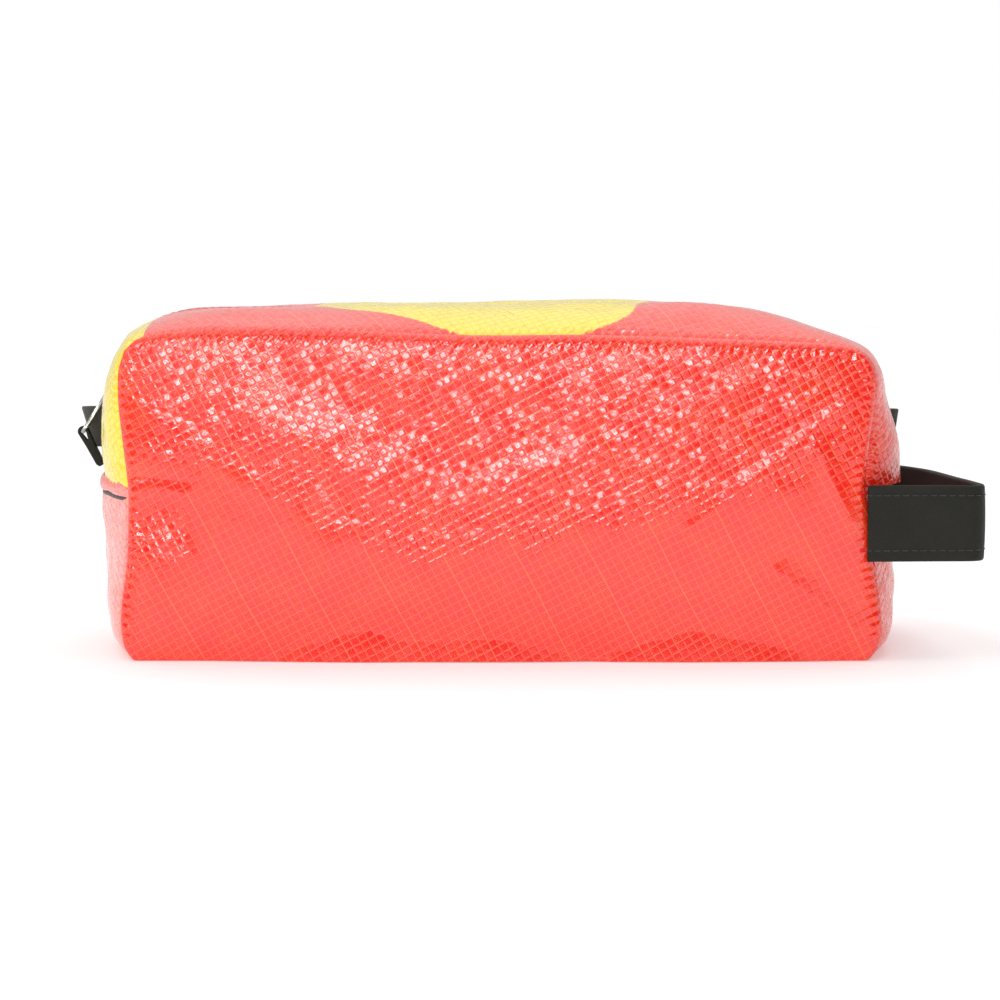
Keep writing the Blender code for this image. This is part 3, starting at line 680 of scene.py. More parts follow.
def long_panel(name, side, grid_size, seed, shape, relief, finish):
    """Front (side -1) or back (side 1) panel, drawn in at its seams."""
    left_line = list(reversed(SEAM_LEFT_LOW)) + list(SEAM_UPPER[1:SEAM_CORNERS[0] + 1])
    right_line = list(reversed(SEAM_RIGHT_LOW)) + list(reversed(SEAM_UPPER[SEAM_CORNERS[1]:-1]))
    top_line = SEAM_UPPER[SEAM_CORNERS[0]:SEAM_CORNERS[1] + 1]
    rows = stepped(PANEL_TALL / grid_size)
    columns = stepped(PANEL_LONG / grid_size)
    left = smooth_curve(left_line, rows)
    right = smooth_curve(right_line, rows)
    top = smooth_curve(top_line, columns)
    bottom = smooth_curve((SEAM_LEFT_LOW[-1], *PANEL_FOOT, SEAM_RIGHT_LOW[-1]), columns)
    _, ridge, patches = shape
    s = np.linspace(0, 1, columns)[None, :, None]
    t = np.linspace(0, 1, rows)[:, None, None]
    flat = ((1 - s) * left[:, None] + s * right[:, None] + (1 - t) * bottom[None] + t * top[None]
            - (1 - s) * (1 - t) * left[0] - s * (1 - t) * right[0]
            - (1 - s) * t * left[-1] - s * t * right[-1])
    x = flat[:, :, 0]
    z = flat[:, :, 1]
    # Each edge's distance, the run along it, and its pleats
    edges = ((s[:, :, 0] * PANEL_SPAN + 0 * z, run_lengths(left)[:, None], SIDE_PLEAT),
             ((1 - s[:, :, 0]) * PANEL_SPAN + 0 * z, run_lengths(right)[:, None], SIDE_PLEAT),
             ((1 - t[:, :, 0]) * PANEL_TALL + 0 * z, run_lengths(top)[None, :], TOP_PLEAT))
    roll = np.ones_like(x)
    gather = np.zeros_like(x)
    for index, (distance, run, pleat) in enumerate(edges):
        roll = roll * seam_roll(distance)
        gather = gather + pucker(run + 0 * x, distance, 40 + index, size=pleat)
    crest = profile(x, ridge)
    zone = ease(z - crest + 5 * MM * noise(x / (13 * MM), z / (13 * MM), seed + 8), -4 * MM, 5 * MM)
    for middle_x, middle_z, half_x, half_z, _, _ in patches:
        spread = ((x / MM - middle_x) / half_x) ** 2 + ((z / MM - middle_z) / half_z) ** 2
        zone = np.maximum(zone, np.exp(-spread ** 2))
    under = np.clip(1 - z / (7 * MM), 0, 1) ** 2 * np.clip(1 - profile(x, FOOT_LINE) / (4 * MM), 0, 1)
    face = panel_bulge(x, z, seed, *shape) + film_relief(x, z, seed + 10, relief) * (0.2 + 0.8 * zone)
    out = (ROLL + gather + face) * roll - 1.1 * MM * under
    y = side * (SEAM_DEPTH - ROLL + out)
    grid = np.stack((x, y, z), axis=2)
    pattern = np.stack(film_place(x, z, seed), axis=2)
    return film_sheet(name, grid, pattern, (finish, look("reverse")), one_way(grid, 1, -side), zone=zone)


def zip_side(grid_size):
    """Stations over the top: seam, crest and zip points, and the run's length so far."""
    joined = [seam + crest + line for seam, crest, line in zip(SEAM_UPPER, CREST_UPPER, ZIP_UPPER)]
    table = smooth_curve(joined, stepped(OVER_LENGTH / grid_size))
    middle = (table[:, 0:2] + table[:, 2:4]) / 2
    return table[:, 0:2], table[:, 2:4], table[:, 4:6], run_lengths(middle)


def run_outward(points):
    """Unit normals of a line in the X-Z plane that runs left to right over the top."""
    step = np.gradient(points, axis=0)
    normal = np.stack((-step[:, 1], step[:, 0]), axis=1)
    return normal / np.linalg.norm(normal, axis=1, keepdims=True)


def over_line(points, outward, side_place, sink):
    """Points of a line in space, beside the zip and sunk below the film, and their outward ways."""
    sink = sink + np.zeros(len(points))
    placed = [(p[0] - n[0] * deep, side_place, p[1] - n[1] * deep)
              for p, n, deep in zip(points, outward, sink)]
    return placed, [(n[0], 0, n[1]) for n in outward]


FOLD_WIDTH = 1.3 * MM       # the gusset's edge turns under, beside the zip
FOLD_DEEP = 1.0 * MM
GUSSET_SLACK = 0.7 * MM
GUSSET_PLEAT = 0.55 * MM
STITCH_DENT = 0.25 * MM     # the topstitching draws the film down


def gusset(name, side, grid_size, seed, relief, finish):
    """Half of the gusset, from its long seam up over the crest to the folded edge by the zip."""
    seam, crest, line, run = zip_side(grid_size)
    first = SEAM_DEPTH - ROLL
    count = stepped((first - ZIP_EDGE + 14 * MM) / grid_size)
    depth = np.linspace(first, ZIP_EDGE, count)
    outer_share = np.clip((first - depth) / (first - CREST), 0, 1)
    crown = 1 - (1 - outer_share) ** 2.1
    sink = np.clip((CREST - depth) / (CREST - ZIP_EDGE), 0, 1) ** 2
    base = (seam[:, None] + (crest - seam)[:, None] * crown[None, :, None]
            + (line - crest)[:, None] * sink[None, :, None])
    outward = run_outward(line)
    distance = (first - depth)[None, :] + 0 * base[:, :, 0]
    away = run[:, None] + 0 * distance
    roll = seam_roll(distance)
    fold = np.clip(1 - (depth - ZIP_EDGE) / FOLD_WIDTH, 0, 1)[None, :] ** 2
    slack = noise(away / (30 * MM) + 9, distance / (20 * MM) + 4, seed)
    slack = GUSSET_SLACK * (slack + 0.4 * noise(away / (11 * MM), distance / (9 * MM), seed + 1))
    middle = np.clip(distance / (10 * MM), 0, 1) * np.clip((depth - 13 * MM) / (8 * MM), 0, 1)[None, :]
    stitched = STITCH_DENT * np.exp(-((depth - TOPSTITCH) / (0.7 * MM)) ** 2)[None, :]
    gather = pucker(away, distance, 42, size=GUSSET_PLEAT, slant=-0.5)
    from_stitches = np.abs(depth - TOPSTITCH)[None, :] + 1 * MM + 0 * away
    zip_gather = pucker(away + 1 * MM, from_stitches, 47, reach=4 * MM, size=0.14 * MM)
    out = (gather * roll + zip_gather * (1 - fold) * np.clip(distance / (30 * MM), 0, 1) + slack * middle
           + film_relief(away, distance, seed + 10, relief) * roll * (1 - fold)
           - FOLD_DEEP * fold - stitched + ROLL * (roll - 1))
    flat = base + outward[:, None] * out[:, :, None]
    y = side * (depth[None, :] + 0 * away)
    grid = np.stack((flat[:, :, 0], y, flat[:, :, 1]), axis=2)
    pattern = np.stack(film_place(away, distance + 108 * MM, seed), axis=2)
    inward = np.stack((-outward[:, None, 0] + 0 * away, 0 * away, -outward[:, None, 1] + 0 * away), axis=2)
    return film_sheet(name, grid, pattern, (finish, look("reverse")), inward)


def end_surface(side, height, depth):
    """How far out a lower end stands at a height and a distance from the middle."""
    line = SEAM_LEFT_LOW if side < 0 else SEAM_RIGHT_LOW
    curve = smooth_curve(line, 200)[::-1]
    reach = np.abs(np.interp(height, curve[:, 1], curve[:, 0]))
    swell = profile(height, END_SWELL)
    return reach + swell * (1 - np.clip(np.abs(depth) / (SEAM_DEPTH - ROLL), 0, 1) ** END_SQUARE)


END_TALL = 57 * MM          # a lower end's film, up to under the cross seam's roll
END_SLACK = 0.9 * MM


def lower_end(name, side, grid_size, seed, relief, finish):
    """The film below an end's cross seam."""
    edge = SEAM_DEPTH - ROLL
    rows = stepped(END_TALL / grid_size)
    columns = stepped(2 * edge / grid_size)
    z = np.linspace(0.6 * MM, END_TALL, rows)[:, None] + np.zeros((1, columns))
    y = np.linspace(-edge, edge, columns)[None, :] + np.zeros((rows, 1))
    beside = edge - np.abs(y)
    roll = seam_roll(beside)
    slack = noise(y / (22 * MM) + 5, z / (17 * MM) + 2, seed)
    slack = slack + 0.5 * noise(y / (9 * MM), z / (8 * MM), seed)
    middle = np.clip(beside / (9 * MM), 0, 1)
    under = np.clip(1 - z / (6 * MM), 0, 1) ** 2
    face = film_relief(y, z, seed + 10, relief) + pucker(z, beside, 44) + pucker(y, END_TALL - z, 45)
    out = end_surface(side, z, y) + END_SLACK * slack * middle + face * roll
    out = out - ROLL * (1 - roll) - 2 * MM * under
    grid = np.stack((side * out, y, z), axis=2)
    pattern = np.stack(film_place(y, z, seed), axis=2)
    return film_sheet(name, grid, pattern, (finish, look("reverse")), one_way(grid, 0, -side))


BASE_BOW = 7 * MM       # the base bows out at its ends


def base_film(name, seed, relief, finish):
    """The film the bag stands on."""
    left = SEAM_LEFT_LOW[-1][0] * MM
    right = SEAM_RIGHT_LOW[-1][0] * MM
    rows = stepped(70)
    columns = stepped(140)
    edge = SEAM_DEPTH - ROLL
    y = np.linspace(-edge, edge, rows)[:, None] + np.zeros((1, columns))
    shape = 1 - np.clip(np.abs(y) / edge, 0, 1) ** END_SQUARE
    start = left - BASE_BOW * shape
    end = right + BASE_BOW * shape
    x = start + (end - start) * np.linspace(0, 1, columns)[None, :]
    rim = np.minimum(edge - np.abs(y), np.minimum(x - start, end - x))
    z = 0.05 * MM + 0.5 * MM * np.clip(1 - rim / (4 * MM), 0, 1) ** 2
    z = z + 0.3 * MM * (1 + noise(x / (30 * MM), y / (24 * MM), seed)) * np.clip(rim / (8 * MM), 0, 1)
    grid = np.stack((x, y, z), axis=2)
    pattern = np.stack(film_place(x, y, seed), axis=2)
    return film_sheet(name, grid, pattern, (finish, look("reverse")), one_way(grid, 2, 1))


CROSS_HALF = 52.6 * MM      # a cross seam's roll, to either side of the zip
CROSS_THICK = 0.4 * MM
GATHER_PITCH = 2.9 * MM


def cross_roll(name, side, finish, low, high, proud, seed, ruffle=1.0):
    """A folded edge rolled over the seam that crosses an end."""
    edge = CROSS_HALF
    columns = stepped(2 * edge / (0.6 * MM))
    rows = stepped(12)
    y = np.linspace(-edge, edge, columns)[None, :] + np.zeros((rows, 1))
    turn = np.linspace(0, math.pi, rows)[:, None] + np.zeros((1, columns))
    lift = 0.5 * ruffle * MM * noise(y / (9 * MM), turn * 0 + 2, seed)
    z = low + (high - low) * (1 - np.cos(turn)) / 2 + lift
    bulge = proud * np.sin(turn) ** 0.7
    turns = y / GATHER_PITCH + 0.4 * noise(y / (8 * MM), y * 0, seed)
    gathers = 0.3 * ruffle * MM * np.sin(turn) * np.sin(2 * math.pi * turns)
    fade = np.clip((edge - np.abs(y)) / (3 * MM), 0, 1) ** 0.5
    out = end_surface(side, np.minimum(z, 57.9 * MM), y) - 0.5 * MM + (bulge + gathers) * fade
    grid = np.stack((side * out, y, z), axis=2)
    pattern = np.stack((y, z), axis=2)
    return film_sheet(name, grid, pattern, (finish, look("reverse")), one_way(grid, 0, -side),
                      thick=CROSS_THICK)


# ---------------------------------------------------------------- straps, tapes and metal

def rounded_section(width, thick, corner, steps=2):
    """Outline of a strap's cross-section, (across, out), with rounded corners."""
    half_a = width / 2 - corner
    half_b = thick / 2 - corner
    outline = []
    for centre_a, centre_b, first in ((half_a, half_b, 0), (-half_a, half_b, 90), (-half_a, -half_b, 180),
                                      (half_a, -half_b, 270)):
        for angle in np.radians(np.linspace(first, first + 90, steps + 1)):
            outline.append((centre_a + corner * math.cos(angle), centre_b + corner * math.sin(angle)))
    return outline


def swept(name, centres, across, outward, section, finish):
    """A strip swept along stations, from each station's point, cross direction and outward direction."""
    count = len(section)
    points = []
    flat = []
    run = run_lengths(np.array(centres))
    around = run_lengths(np.array(section + section[:1]))
    for centre, side, out, far in zip(centres, across, outward, run):
        for index, (a, b) in enumerate(section):
            points.append(np.array(centre) + np.array(side) * a + np.array(out) * b)
            flat.append((far, around[index]))
    faces = []
    for station in range(len(centres) - 1):
        for index in range(count):
            after = (index + 1) % count
            faces.append((station * count + index, station * count + after,
                          (station + 1) * count + after, (station + 1) * count + index))
    faces.append(list(range(count)))
    faces.append([(len(centres) - 1) * count + index for index in reversed(range(count))])
    mesh = bpy.data.meshes.new(name)
    mesh.from_pydata([tuple(p) for p in points], [], faces)
    layer = mesh.uv_layers.new(name="film")
    corners = np.zeros(len(mesh.loops), np.int32)
    mesh.loops.foreach_get("vertex_index", corners)
    layer.data.foreach_set("uv", np.array(flat, np.float32)[corners].ravel())
    outward_mesh(mesh)
    mesh.shade_smooth()
    mesh.set_sharp_from_angle(angle=math.radians(50))
    return mesh_object(name, mesh, finish)


def outward_mesh(mesh):
    work = bmesh.new()
    work.from_mesh(mesh)
    bmesh.ops.recalc_face_normals(work, faces=work.faces)
    work.to_mesh(mesh)
    work.free()


def zip_tape(name, side, finish):
    """Woven tape along one side of the zip, under the gusset's edge."""
    _, _, line, _ = zip_side(1.6 * MM)
    centres, out = over_line(line, run_outward(line), side * (TAPE_INNER + TAPE_OUTER) / 2, TAPE_SINK)
    section = rounded_section(TAPE_OUTER - TAPE_INNER, 0.5 * MM, 0.2 * MM)
    return swept(name, centres, [(0, 1, 0)] * len(centres), out, section, finish)


def line_mesh(name, points, outward):
    """A polyline that carries the outward direction at each of its points."""
    mesh = bpy.data.meshes.new(name)
    mesh.from_pydata([tuple(p) for p in points], [(i, i + 1) for i in range(len(points) - 1)], [])
    facing = mesh.attributes.new("outward", "FLOAT_VECTOR", "POINT")
    facing.data.foreach_set("vector", np.array(outward, np.float32).ravel())
    return mesh


def repeat_group():
    """Geometry nodes that set one piece again and again along a line, facing outward."""
    found = bpy.data.node_groups.get("Repeat Along Line")
    if found:
        return found
    group = bpy.data.node_groups.new("Repeat Along Line", "GeometryNodeTree")
    for name, kind in (("Line", "Geometry"), ("Piece", "Object"), ("Spacing", "Float"),
                       ("Size Variation", "Float"), ("Finish", "Material")):
        group.interface.new_socket(name, in_out="INPUT", socket_type=f"NodeSocket{kind}")
    group.interface.new_socket("Geometry", in_out="OUTPUT", socket_type="NodeSocketGeometry")
    start = add_node(group, "NodeGroupInput")
    curve = add_node(group, "GeometryNodeMeshToCurve", None, {"Mesh": start.outputs["Line"]})
    spread = add_node(group, "GeometryNodeResampleCurve", {"mode": "LENGTH"},
                      {"Curve": curve.outputs[0], "Length": start.outputs["Spacing"]})
    tangent = add_node(group, "GeometryNodeInputTangent")
    facing = add_node(group, "GeometryNodeInputNamedAttribute", {"data_type": "FLOAT_VECTOR"},
                      {"Name": "outward"})
    along_line = add_node(group, "FunctionNodeAlignRotationToVector", {"axis": "X"},
                          {"Vector": tangent.outputs[0]})
    stand = add_node(group, "FunctionNodeAlignRotationToVector", {"axis": "Z", "pivot_axis": "X"},
                     {"Rotation": along_line.outputs[0], "Vector": facing.outputs["Attribute"]})
    piece = add_node(group, "GeometryNodeObjectInfo", None, {"Object": start.outputs["Piece"]})
    random = add_node(group, "FunctionNodeRandomValue", None, {"Seed": 11})
    chance = next(socket for socket in random.outputs if socket.enabled and socket.type == "VALUE")
    vary = add_node(group, "ShaderNodeMath", {"operation": "MULTIPLY"},
                    {"Value": chance, "Value_001": start.outputs["Size Variation"]})
    grow = add_node(group, "ShaderNodeMath", {"operation": "ADD"},
                    {"Value": vary.outputs[0], "Value_001": 1.0})
    place = add_node(group, "GeometryNodeInstanceOnPoints", None,
                     {"Points": spread.outputs[0], "Instance": piece.outputs["Geometry"],
                      "Rotation": stand.outputs[0], "Scale": grow.outputs[0]})
    real = add_node(group, "GeometryNodeRealizeInstances", None, {"Geometry": place.outputs[0]})
    coat = add_node(group, "GeometryNodeSetMaterial", None,
                    {"Geometry": real.outputs[0], "Material": start.outputs["Finish"]})
    add_node(group, "NodeGroupOutput", None, {"Geometry": coat.outputs[0]})
    return group


def repeated(name, points, outward, piece_mesh, spacing, variation, finish):
    """The piece set along the line, as one plain mesh."""
    piece = bpy.data.objects.new(f"{name}_piece", piece_mesh)
    bpy.context.scene.collection.objects.link(piece)
    carrier = bpy.data.objects.new(f"{name}_line", line_mesh(f"{name}_line", points, outward))
    bpy.context.scene.collection.objects.link(carrier)
    group = repeat_group()
    modifier = carrier.modifiers.new("Repeat", "NODES")
    modifier.node_group = group
    values = {"Piece": piece, "Spacing": spacing, "Size Variation": variation, "Finish": finish}
    for item in group.interface.items_tree:
        if item.in_out == "INPUT" and item.name in values:
            modifier[item.identifier] = values[item.name]
    bpy.context.view_layer.update()
    evaluated = carrier.evaluated_get(bpy.context.evaluated_depsgraph_get())
    mesh = bpy.data.meshes.new_from_object(evaluated)
    mesh.name = name
    left_over = mesh.attributes.get("outward")
    if left_over:
        mesh.attributes.remove(left_over)
    bpy.data.objects.remove(carrier)
    bpy.data.objects.remove(piece)
    mesh.shade_smooth()
    made = bpy.data.objects.new(name, mesh)
    bpy.context.scene.collection.objects.link(made)
    return made


def tube_mesh(name, path, radius, sides, closed=True):
    """A small tube round a path of points. An open one tapers at its two ends."""
    path = np.array(path)
    count = len(path)
    if closed:
        after = np.roll(path, -1, axis=0)
        before = np.roll(path, 1, axis=0)
    else:
        after = np.vstack((path[1:], 2 * path[-1:] - path[-2:-1]))
        before = np.vstack((2 * path[:1] - path[1:2], path[:-1]))
    forward = after - before
    forward /= np.linalg.norm(forward, axis=1, keepdims=True)
    first = np.cross(forward, np.array((1.0, 0.11, 0.07)))
    first /= np.linalg.norm(first, axis=1, keepdims=True)
    second = np.cross(forward, first)
    points = []
    for k in range(count):
        size = radius if closed or 0 < k < count - 1 else radius * 0.45
        for angle in np.linspace(0, 2 * math.pi, sides, endpoint=False):
            points.append(path[k] + size * (first[k] * math.cos(angle) + second[k] * math.sin(angle)))
    faces = []
    for k in range(count if closed else count - 1):
        nearby = (k + 1) % count
        for index in range(sides):
            beside = (index + 1) % sides
            faces.append((k * sides + index, k * sides + beside,
                          nearby * sides + beside, nearby * sides + index))
    if not closed:
        faces.append(list(range(sides)))
        faces.append([(count - 1) * sides + index for index in reversed(range(sides))])
    mesh = bpy.data.meshes.new(name)
    mesh.from_pydata([tuple(p) for p in points], [], faces)
    outward_mesh(mesh)
    return mesh


COIL_INNER = 0.25 * MM      # one turn of the coil, from the zip's middle to its sewn edge
COIL_OUTER = 3.45 * MM
COIL_HALF_THICK = 0.72 * MM
COIL_WIRE = 0.36 * MM       # radius of its wire
COIL_LEAN = 0.3 * MM        # how far a turn leans along the zip


def coil_turn(side):
    """One turn of the zip's coil: a flattened loop from the middle to its sewn edge."""
    path = []
    for angle in np.linspace(0, 2 * math.pi, 14, endpoint=False):
        reach = math.copysign(abs(math.cos(angle)) ** 0.7, math.cos(angle))
        across = (COIL_INNER + COIL_OUTER) / 2 + (COIL_OUTER - COIL_INNER) / 2 * reach
        path.append((COIL_LEAN * math.sin(angle), side * across, COIL_HALF_THICK * math.sin(angle)))
    return tube_mesh("coil_turn", path, COIL_WIRE, 6)


# Where the slack zip stands up: middle and half length in millimetres
COIL_RISES = ((-27, 11), (38, 7))
COIL_RISE = 1.3 * MM


def zip_coil(name, side, spacing, finish):
    """One side of the zip's coil, from stop to stop."""
    _, _, line, _ = zip_side(2 * MM)
    outward = run_outward(line)
    keep = (line[:, 1] > COIL_START) | (np.abs(line[:, 0]) < 100 * MM)
    line = line[keep]
    rise = sum(np.exp(-((line[:, 0] - middle * MM) / (half * MM)) ** 4) for middle, half in COIL_RISES)
    points, facing = over_line(line, outward[keep], 0, COIL_SINK - rise * COIL_RISE)
    return repeated(name, points, facing, coil_turn(side), spacing, 0.0, finish)


STITCH_DIP = 0.12 * MM      # how far a stitch's ends dip into the cloth, and its middle stands out


def stitch_mesh(length, radius):
    """One stitch: a short thread that dips into the cloth at both ends."""
    path = []
    for t in np.linspace(0, 1, 6):
        arch = 1 - (2 * t - 1) ** 2
        path.append((length * (t - 0.5), 0, STITCH_DIP * arch * 2 - STITCH_DIP))
    return tube_mesh("stitch", path, radius, 6, closed=False)


def topstitching(name, side, spacing, finish):
    """The row of stitches through the gusset beside the zip."""
    _, crest, line, _ = zip_side(2 * MM)
    outward = run_outward(line)
    share = ((CREST - TOPSTITCH) / (CREST - ZIP_EDGE)) ** 2
    low = crest + (line - crest) * share
    keep = slice(4, -4)
    points, facing = over_line(low[keep], outward[keep], side * TOPSTITCH, 0.1 * MM)
    return repeated(name, points, facing, stitch_mesh(2.2 * MM, 0.2 * MM), spacing, 0.1, finish)


def cad_copy(name, node, bevel, finish):
    """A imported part's shape with its edges softened."""
    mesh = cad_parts[node].data.copy()
    mesh.name = name
    mesh.materials.clear()
    work = bmesh.new()
    work.from_mesh(mesh)
    bmesh.ops.remove_doubles(work, verts=work.verts, dist=0.01 * MM)
    bmesh.ops.dissolve_limit(work, angle_limit=math.radians(2), verts=work.verts, edges=work.edges)
    sharp = [edge for edge in work.edges
             if len(edge.link_faces) == 2 and edge.calc_face_angle() > math.radians(32)]
    bmesh.ops.bevel(work, geom=sharp, offset=bevel, offset_type="OFFSET", segments=2, profile=0.6,
                    affect="EDGES", clamp_overlap=True)
    bmesh.ops.recalc_face_normals(work, faces=work.faces)
    work.to_mesh(mesh)
    work.free()
    mesh.shade_smooth()
    mesh.set_sharp_from_angle(angle=math.radians(40))
    return mesh_object(name, mesh, finish)


# The strap's loop in plan, (x, y), from its front end round to its back end
STRAP_PATH = ((121.3, -56.9), (140, -56.7), (150, -56.7), (155.6, -56.4), (158.6, -54.4), (159.7, -50.5),
              (159.3, -42), (158.3, -30), (157, -18), (155.2, 2), (153.2, 19), (150, 31), (146, 41),
              (141, 49.5), (134.5, 54.8), (129, 56.6), (124, 56.8))
STRAP_PLY = 1.0 * MM
STRAP_LAYER = 0.62 * MM         # middle of each ply, from the loop
STITCH_FACE = 1.12 * MM         # where the strap's stitches lie
STRAP_STITCH = 3 * MM           # length of one stitch and its gap
UPPER_ROW = 3.3 * MM            # the rows of stitches, from the strap's edges
LOWER_ROW = 3.7 * MM
DIMPLE_ROW = 2.9 * MM
DIMPLE = 0.16 * MM


def strap_stations(offset, count):
    """Points of the strap's loop, in plan, moved outward by an offset, and their outward directions."""
    curve = smooth_curve(STRAP_PATH, count)
    step = np.gradient(curve, axis=0)
    outward = np.stack((step[:, 1], -step[:, 0]), axis=1)
    outward /= np.linalg.norm(outward, axis=1, keepdims=True)
    outward[:, 0] = np.abs(outward[:, 0])
    return curve + outward * offset, outward


def strap_heights(run):
    """The strap's lower and upper edge, which dip and rise a little along the loop."""
    low = STRAP_LOW.z + 0.2 * MM * np.sin(run / (40 * MM))
    high = STRAP_HIGH.z + 0.25 * MM * np.sin(run / (31 * MM) + 1)
    return low, high


def ply_out(share, half, run, face, offset):
    """How far a ply's surface stands out at a share of its half width."""
    edge = (1 - abs(share)) * half
    round_edge = 1 - np.clip(1 - edge / (STRAP_PLY * 0.5), 0, 1) ** 2
    dimple = 0.0
    if face * offset >= 0:
        beside = (edge - DIMPLE_ROW) / (0.55 * MM)
        pit = max(0.0, math.cos(2 * math.pi * run / STRAP_STITCH)) ** 3
        dimple = DIMPLE * math.exp(-beside * beside) * pit
    cup = 0.35 * MM * (share * share - 0.4)
    return face * (STRAP_PLY / 2 * (0.25 + 0.75 * math.sqrt(round_edge)) - dimple) - cup


def strap_ply(name, offset, finish):
    """One of the strap's two layers, with rolled edges and rows of needle dimples."""
    plan, outward = strap_stations(offset, 300)
    run = run_lengths(plan)
    low, high = strap_heights(run)
    columns = 44
    points = []
    for face in (1, -1):
        for k in range(len(plan)):
            middle = (low[k] + high[k]) / 2
            half = (high[k] - low[k]) / 2
            for share in np.linspace(-1, 1, columns):
                place = plan[k] + outward[k] * ply_out(share, half, run[k], face, offset)
                points.append((place[0], place[1], middle + share * half))
    size = len(plan) * columns
    faces = []
    for k in range(len(plan) - 1):
        for j in range(columns - 1):
            a = k * columns + j
            b = a + columns
            faces.append((a, a + 1, b + 1, b))
            faces.append((size + a, size + b, size + b + 1, size + a + 1))
        for j in (0, columns - 1):
            a = k * columns + j
            b = a + columns
            faces.append((a, b, size + b, size + a))
    for k in (0, len(plan) - 1):
        for j in range(columns - 1):
            a = k * columns + j
            faces.append((a, a + 1, size + a + 1, size + a))
    mesh = bpy.data.meshes.new(name)
    mesh.from_pydata([tuple(float(v) for v in p) for p in points], [], faces)
    outward_mesh(mesh)
    mesh.shade_smooth()
    mesh.set_sharp_from_angle(angle=math.radians(60))
    return mesh_object(name, mesh, finish)


def strap_stitches(name, edge, side, finish):
    """One row of stitches along the strap's outer face."""
    plan, outward = strap_stations(STITCH_FACE, 220)
    low, high = strap_heights(run_lengths(plan))
    height = high - edge if side > 0 else low + edge
    points = [(p[0], p[1], z) for p, z in zip(plan, height)]
    facing = [(n[0], n[1], 0) for n in outward]
    return repeated(name, points, facing, stitch_mesh(2.1 * MM, 0.17 * MM), STRAP_STITCH, 0.08, finish)


TAB_BEND = 0.72         # share of a tab's reach where its loop starts to turn back
# A tab's lower and upper edge as (height, root, tip) in millimetres, then how far its two sides are
# from the zip's middle
LEFT_TAB = ((67.6, 132.4, 143.1), (81.6, 131.4, 147.3), 4.05 * MM, 11.5 * MM)
RIGHT_TAB = ((69, 133.6, 138.5), (80.8, 132.6, 140.2), 4.05 * MM, 9.8 * MM)


def tab_loop(name, side, low, high, inner, outer, finish):
    """A folded loop of webbing that stands out beside the zip's end."""
    ply = 1.1 * MM
    half_gap = (outer - inner - ply) / 2
    middle = (outer + inner) / 2
    path = [(t, -half_gap) for t in np.linspace(0, TAB_BEND, 10)]
    for a in np.linspace(0.15, math.pi - 0.15, 14):
        path.append((TAB_BEND + (1 - TAB_BEND) * math.sin(a), -half_gap * math.cos(a)))
    path += [(t, half_gap) for t in np.linspace(TAB_BEND, 0, 10)]
    centres = []
    across = []
    for share, y in path:
        edges = [Vector((side * (root + (tip - 0.6 - root) * share) * MM, middle + y, height * MM))
                 for height, root, tip in (low, high)]
        centres.append((edges[0] + edges[1]) / 2)
        across.append(edges[1] - edges[0])
    count = len(centres)
    outward = []
    for k in range(count):
        run = centres[min(k + 1, count - 1)] - centres[max(k - 1, 0)]
        normal = run.cross(across[k]).normalized()
        outward.append(normal)
    # Share of the width and height above the middle, in millimetres, round the webbing's edge
    rim = ((0.47, 0.5), (0.495, 0.3), (0.5, 0), (0.495, -0.3), (0.47, -0.5))
    section = [(a, b * MM) for a, b in rim] + [(-a, b * MM) for a, b in reversed(rim)]
    return swept(name, centres, across, outward, section, finish)


CORD_INSET = 3.2 * MM       # the binding's middle, in from the seam and from the zip's middle
CORD_SIDE = 51.6 * MM


def seam_cord(name, side, finish):
    """The binding that covers the raw edges of a long seam, inside the bag."""
    over = np.vstack((smooth_curve(SEAM_LEFT_LOW, 30)[::-1], smooth_curve(SEAM_UPPER, 160)[1:],
                      smooth_curve(SEAM_RIGHT_LOW, 30)[1:]))
    centres, out = over_line(over, run_outward(over), side * CORD_SIDE, CORD_INSET)
    section = rounded_section(1.6 * MM, 4.4 * MM, 0.5 * MM)
    return swept(name, centres, [(0, 1, 0)] * len(centres), out, section, finish)


# ---------------------------------------------------------------- the add-on

class FilmSettings(bpy.types.PropertyGroup):
    grid: FloatProperty(name="Film grid", description="Spacing of the film's fine grid",
                        default=FINE, min=0.0004, max=0.005, unit="LENGTH", subtype="DISTANCE")
    relief: FloatProperty(name="Relief", description="Share of the full height of the film's pillows",
                          default=1.0, min=0.0, max=3.0)


class ZipSettings(bpy.types.PropertyGroup):
    coil_pitch: FloatProperty(name="Coil pitch", description="Distance from one turn to the next",
                              default=1.5 * MM, min=0.0005, max=0.01, unit="LENGTH", subtype="DISTANCE")
    stitch_pitch: FloatProperty(name="Stitch pitch", description="Length of one stitch and its gap",
                                default=3 * MM, min=0.001, max=0.02, unit="LENGTH", subtype="DISTANCE")


class StageSettings(bpy.types.PropertyGroup):
    camera_place: FloatVectorProperty(name="Camera place", description="Where the camera stands",
                                      default=(0.0, -0.971, 0.1307), subtype="TRANSLATION", unit="LENGTH")
    camera_tilt: FloatProperty(name="Camera tilt", description="How far the camera looks down",
                               default=math.radians(4.8), subtype="ANGLE", unit="ROTATION")
    lens: FloatProperty(name="Lens", description="Focal length in millimetres", default=100.26)
    key_power: FloatProperty(name="Front light", description="Power of the light in front", default=7.9)
    side_power: FloatProperty(name="Left light", description="Power of the light on the left", default=3.0)
    top_power: FloatProperty(name="Top light", description="Power of the light above", default=2.5)


